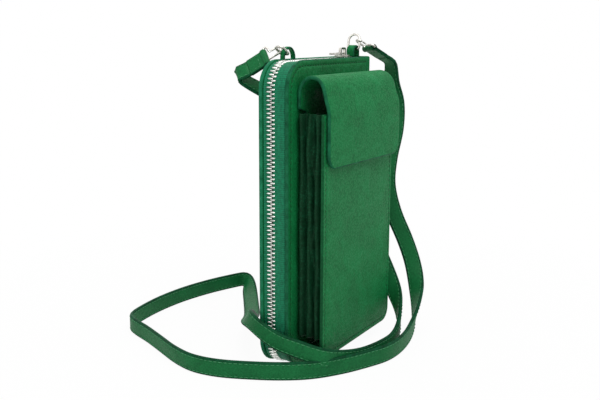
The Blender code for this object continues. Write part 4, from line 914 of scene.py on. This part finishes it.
def makeSnapSeat():
    # a leather washer on the flap: level on the disc, and 0.3 into the flap's inner face, which leans 3.8 in 93
    low, high = boxOf("snap_disc")
    x, _, z = (low + high) / 2
    reach, near = (high[0] - low[0]) / 2, low[1] + 0.25
    t = np.radians(np.arange(40) * 9)
    radii = np.array((0.5, 0.97, 1.05, 1.08, 1.08, 0.5)) * reach
    share = np.array((0, 0, 0.12, 0.35, 1, 1))[:, None]
    points = np.stack(np.broadcast_arrays(x + radii[:, None] * np.cos(t), 0.0, z + radii[:, None] * np.sin(t)), -1)
    inside = -41.4 - flapSet["twist"] * (points[..., 0] / 93 + 0.5)
    points[..., 1] = near * (1 - share) + inside * share
    putPiece("snap_washer", points, gridFaces(6, 40), "inner", "flap")


def makeInside():
    # panels of each solid's own size; the stop, slider, pull and snap keep their solids and take the nickel look
    for node, (look, owner, radii, facing, slot) in insideSet.items():
        low, high = boxOf(node)
        front, back = (high[1], low[1]) if facing else (low[1], high[1])
        s = {"span": (low[0], high[0], low[2], high[2]), "radii": radii, "front": front, "back": back}
        putPanel(node + "_sheet", s, look, owner, (node,))
    low, high = boxOf("pocket_base")
    s = {"span": (low[0], high[0], low[1], high[1]), "radii": (1.0,) * 4, "front": low[2], "back": high[2],
         "level": True}
    putPanel("pocket_floor", s, "leather", "front", ("pocket_base",))
    for node in ("zip_stop", "zip_slider_top", "zip_slider_foot", "zip_pull", "snap_plate", "snap_disc"):
        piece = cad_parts[node]
        for place in piece.material_slots:
            place.material = looks["nickel"]


makeInside()
makeSnapSeat()
print("inside ready")


# the lamps' places and sizes are in metres, and their powers in watts
lightSet = {"sky": 0.35, "lamps": (("key", (-0.48, -0.66, 1.2), 0.7, 7.0), ("side", (-1.1, 0.25, 0.55), 0.7, 2.6),
                                   ("top", (0.05, -0.05, 1.3), 0.9, 6.0), ("far", (0.8, 0.9, 0.7), 0.8, 2.0))}


def seenDirectly(tree):
    # 1 for the rays of the camera, of reflections and through glass, 0 for those that only light the wallet
    ray = addNode(tree, "ShaderNodeLightPath")
    seen = ray.outputs["Is Camera Ray"]
    for name in ("Is Glossy Ray", "Is Transmission Ray"):
        seen = addNode(tree, "ShaderNodeMath", links={0: seen, 1: ray.outputs[name]}, operation="MAXIMUM").outputs[0]
    return seen


def makeFloor():
    # pale paper sweep: white to the camera, with a twentieth of its own shading left near the wallet
    look, tree, place = newLook("white_paper_sweep")
    far = addNode(tree, "ShaderNodeVectorMath", links={0: place}, operation="LENGTH").outputs["Value"]
    fade = addNode(tree, "ShaderNodeMapRange", {"From Min": 0.15, "From Max": 0.4, "To Min": 0.95, "To Max": 1.0},
                   {"Value": far}).outputs[0]
    share = addNode(tree, "ShaderNodeMath", links={0: seenDirectly(tree), 1: fade}, operation="MULTIPLY").outputs[0]
    paper = addNode(tree, "ShaderNodeBsdfDiffuse", {"Color": linearFromHex("#f4f4f4")}).outputs[0]
    glow = addNode(tree, "ShaderNodeEmission", {"Color": (1, 1, 1, 1), "Strength": 1.0}).outputs[0]
    mix = addNode(tree, "ShaderNodeMixShader", links={0: share, 1: paper, 2: glow}).outputs[0]
    addNode(tree, "ShaderNodeOutputMaterial", links={"Surface": mix})
    mesh = bpy.data.meshes.new("floor")
    r, t = 4.0, np.radians(np.arange(48) * 7.5)
    mesh.from_pydata(np.c_[r * np.cos(t), r * np.sin(t), np.full(48, -0.0001)].tolist(), [], [list(range(48))])
    mesh.materials.append(look)
    floor = bpy.data.objects.new("floor", mesh)
    scene.collection.objects.link(floor)


def makeLight(s):
    # a white room that lights the wallet by its strength in sky, and square lamps that face the wallet's middle
    world = bpy.data.worlds.new("studio")
    scene.world = world
    world.use_nodes = True
    tree = world.node_tree
    tree.nodes.clear()
    room = addNode(tree, "ShaderNodeBackground", {"Color": (1, 1, 1, 1), "Strength": s["sky"]}).outputs[0]
    white = addNode(tree, "ShaderNodeBackground", {"Color": (1, 1, 1, 1), "Strength": 1.0}).outputs[0]
    mix = addNode(tree, "ShaderNodeMixShader", links={0: seenDirectly(tree), 1: room, 2: white}).outputs[0]
    addNode(tree, "ShaderNodeOutputWorld", links={"Surface": mix})
    for name, place, size, power in s["lamps"]:
        data = bpy.data.lights.new(name, "AREA")
        data.size, data.energy = size, power
        lamp = bpy.data.objects.new(name, data)
        scene.collection.objects.link(lamp)
        aim = unit(np.array(place) - (0, 0, 0.08))
        right = unit(np.cross((0.0, 0.001, 1.0), aim))
        turn = Matrix(np.column_stack((right, np.cross(aim, right), aim)).tolist()).to_4x4()
        lamp.matrix_world = Matrix.Translation(place) @ turn


makeFloor()
makeLight(lightSet)
scene.view_settings.view_transform = "Standard"
print("floor and light ready")
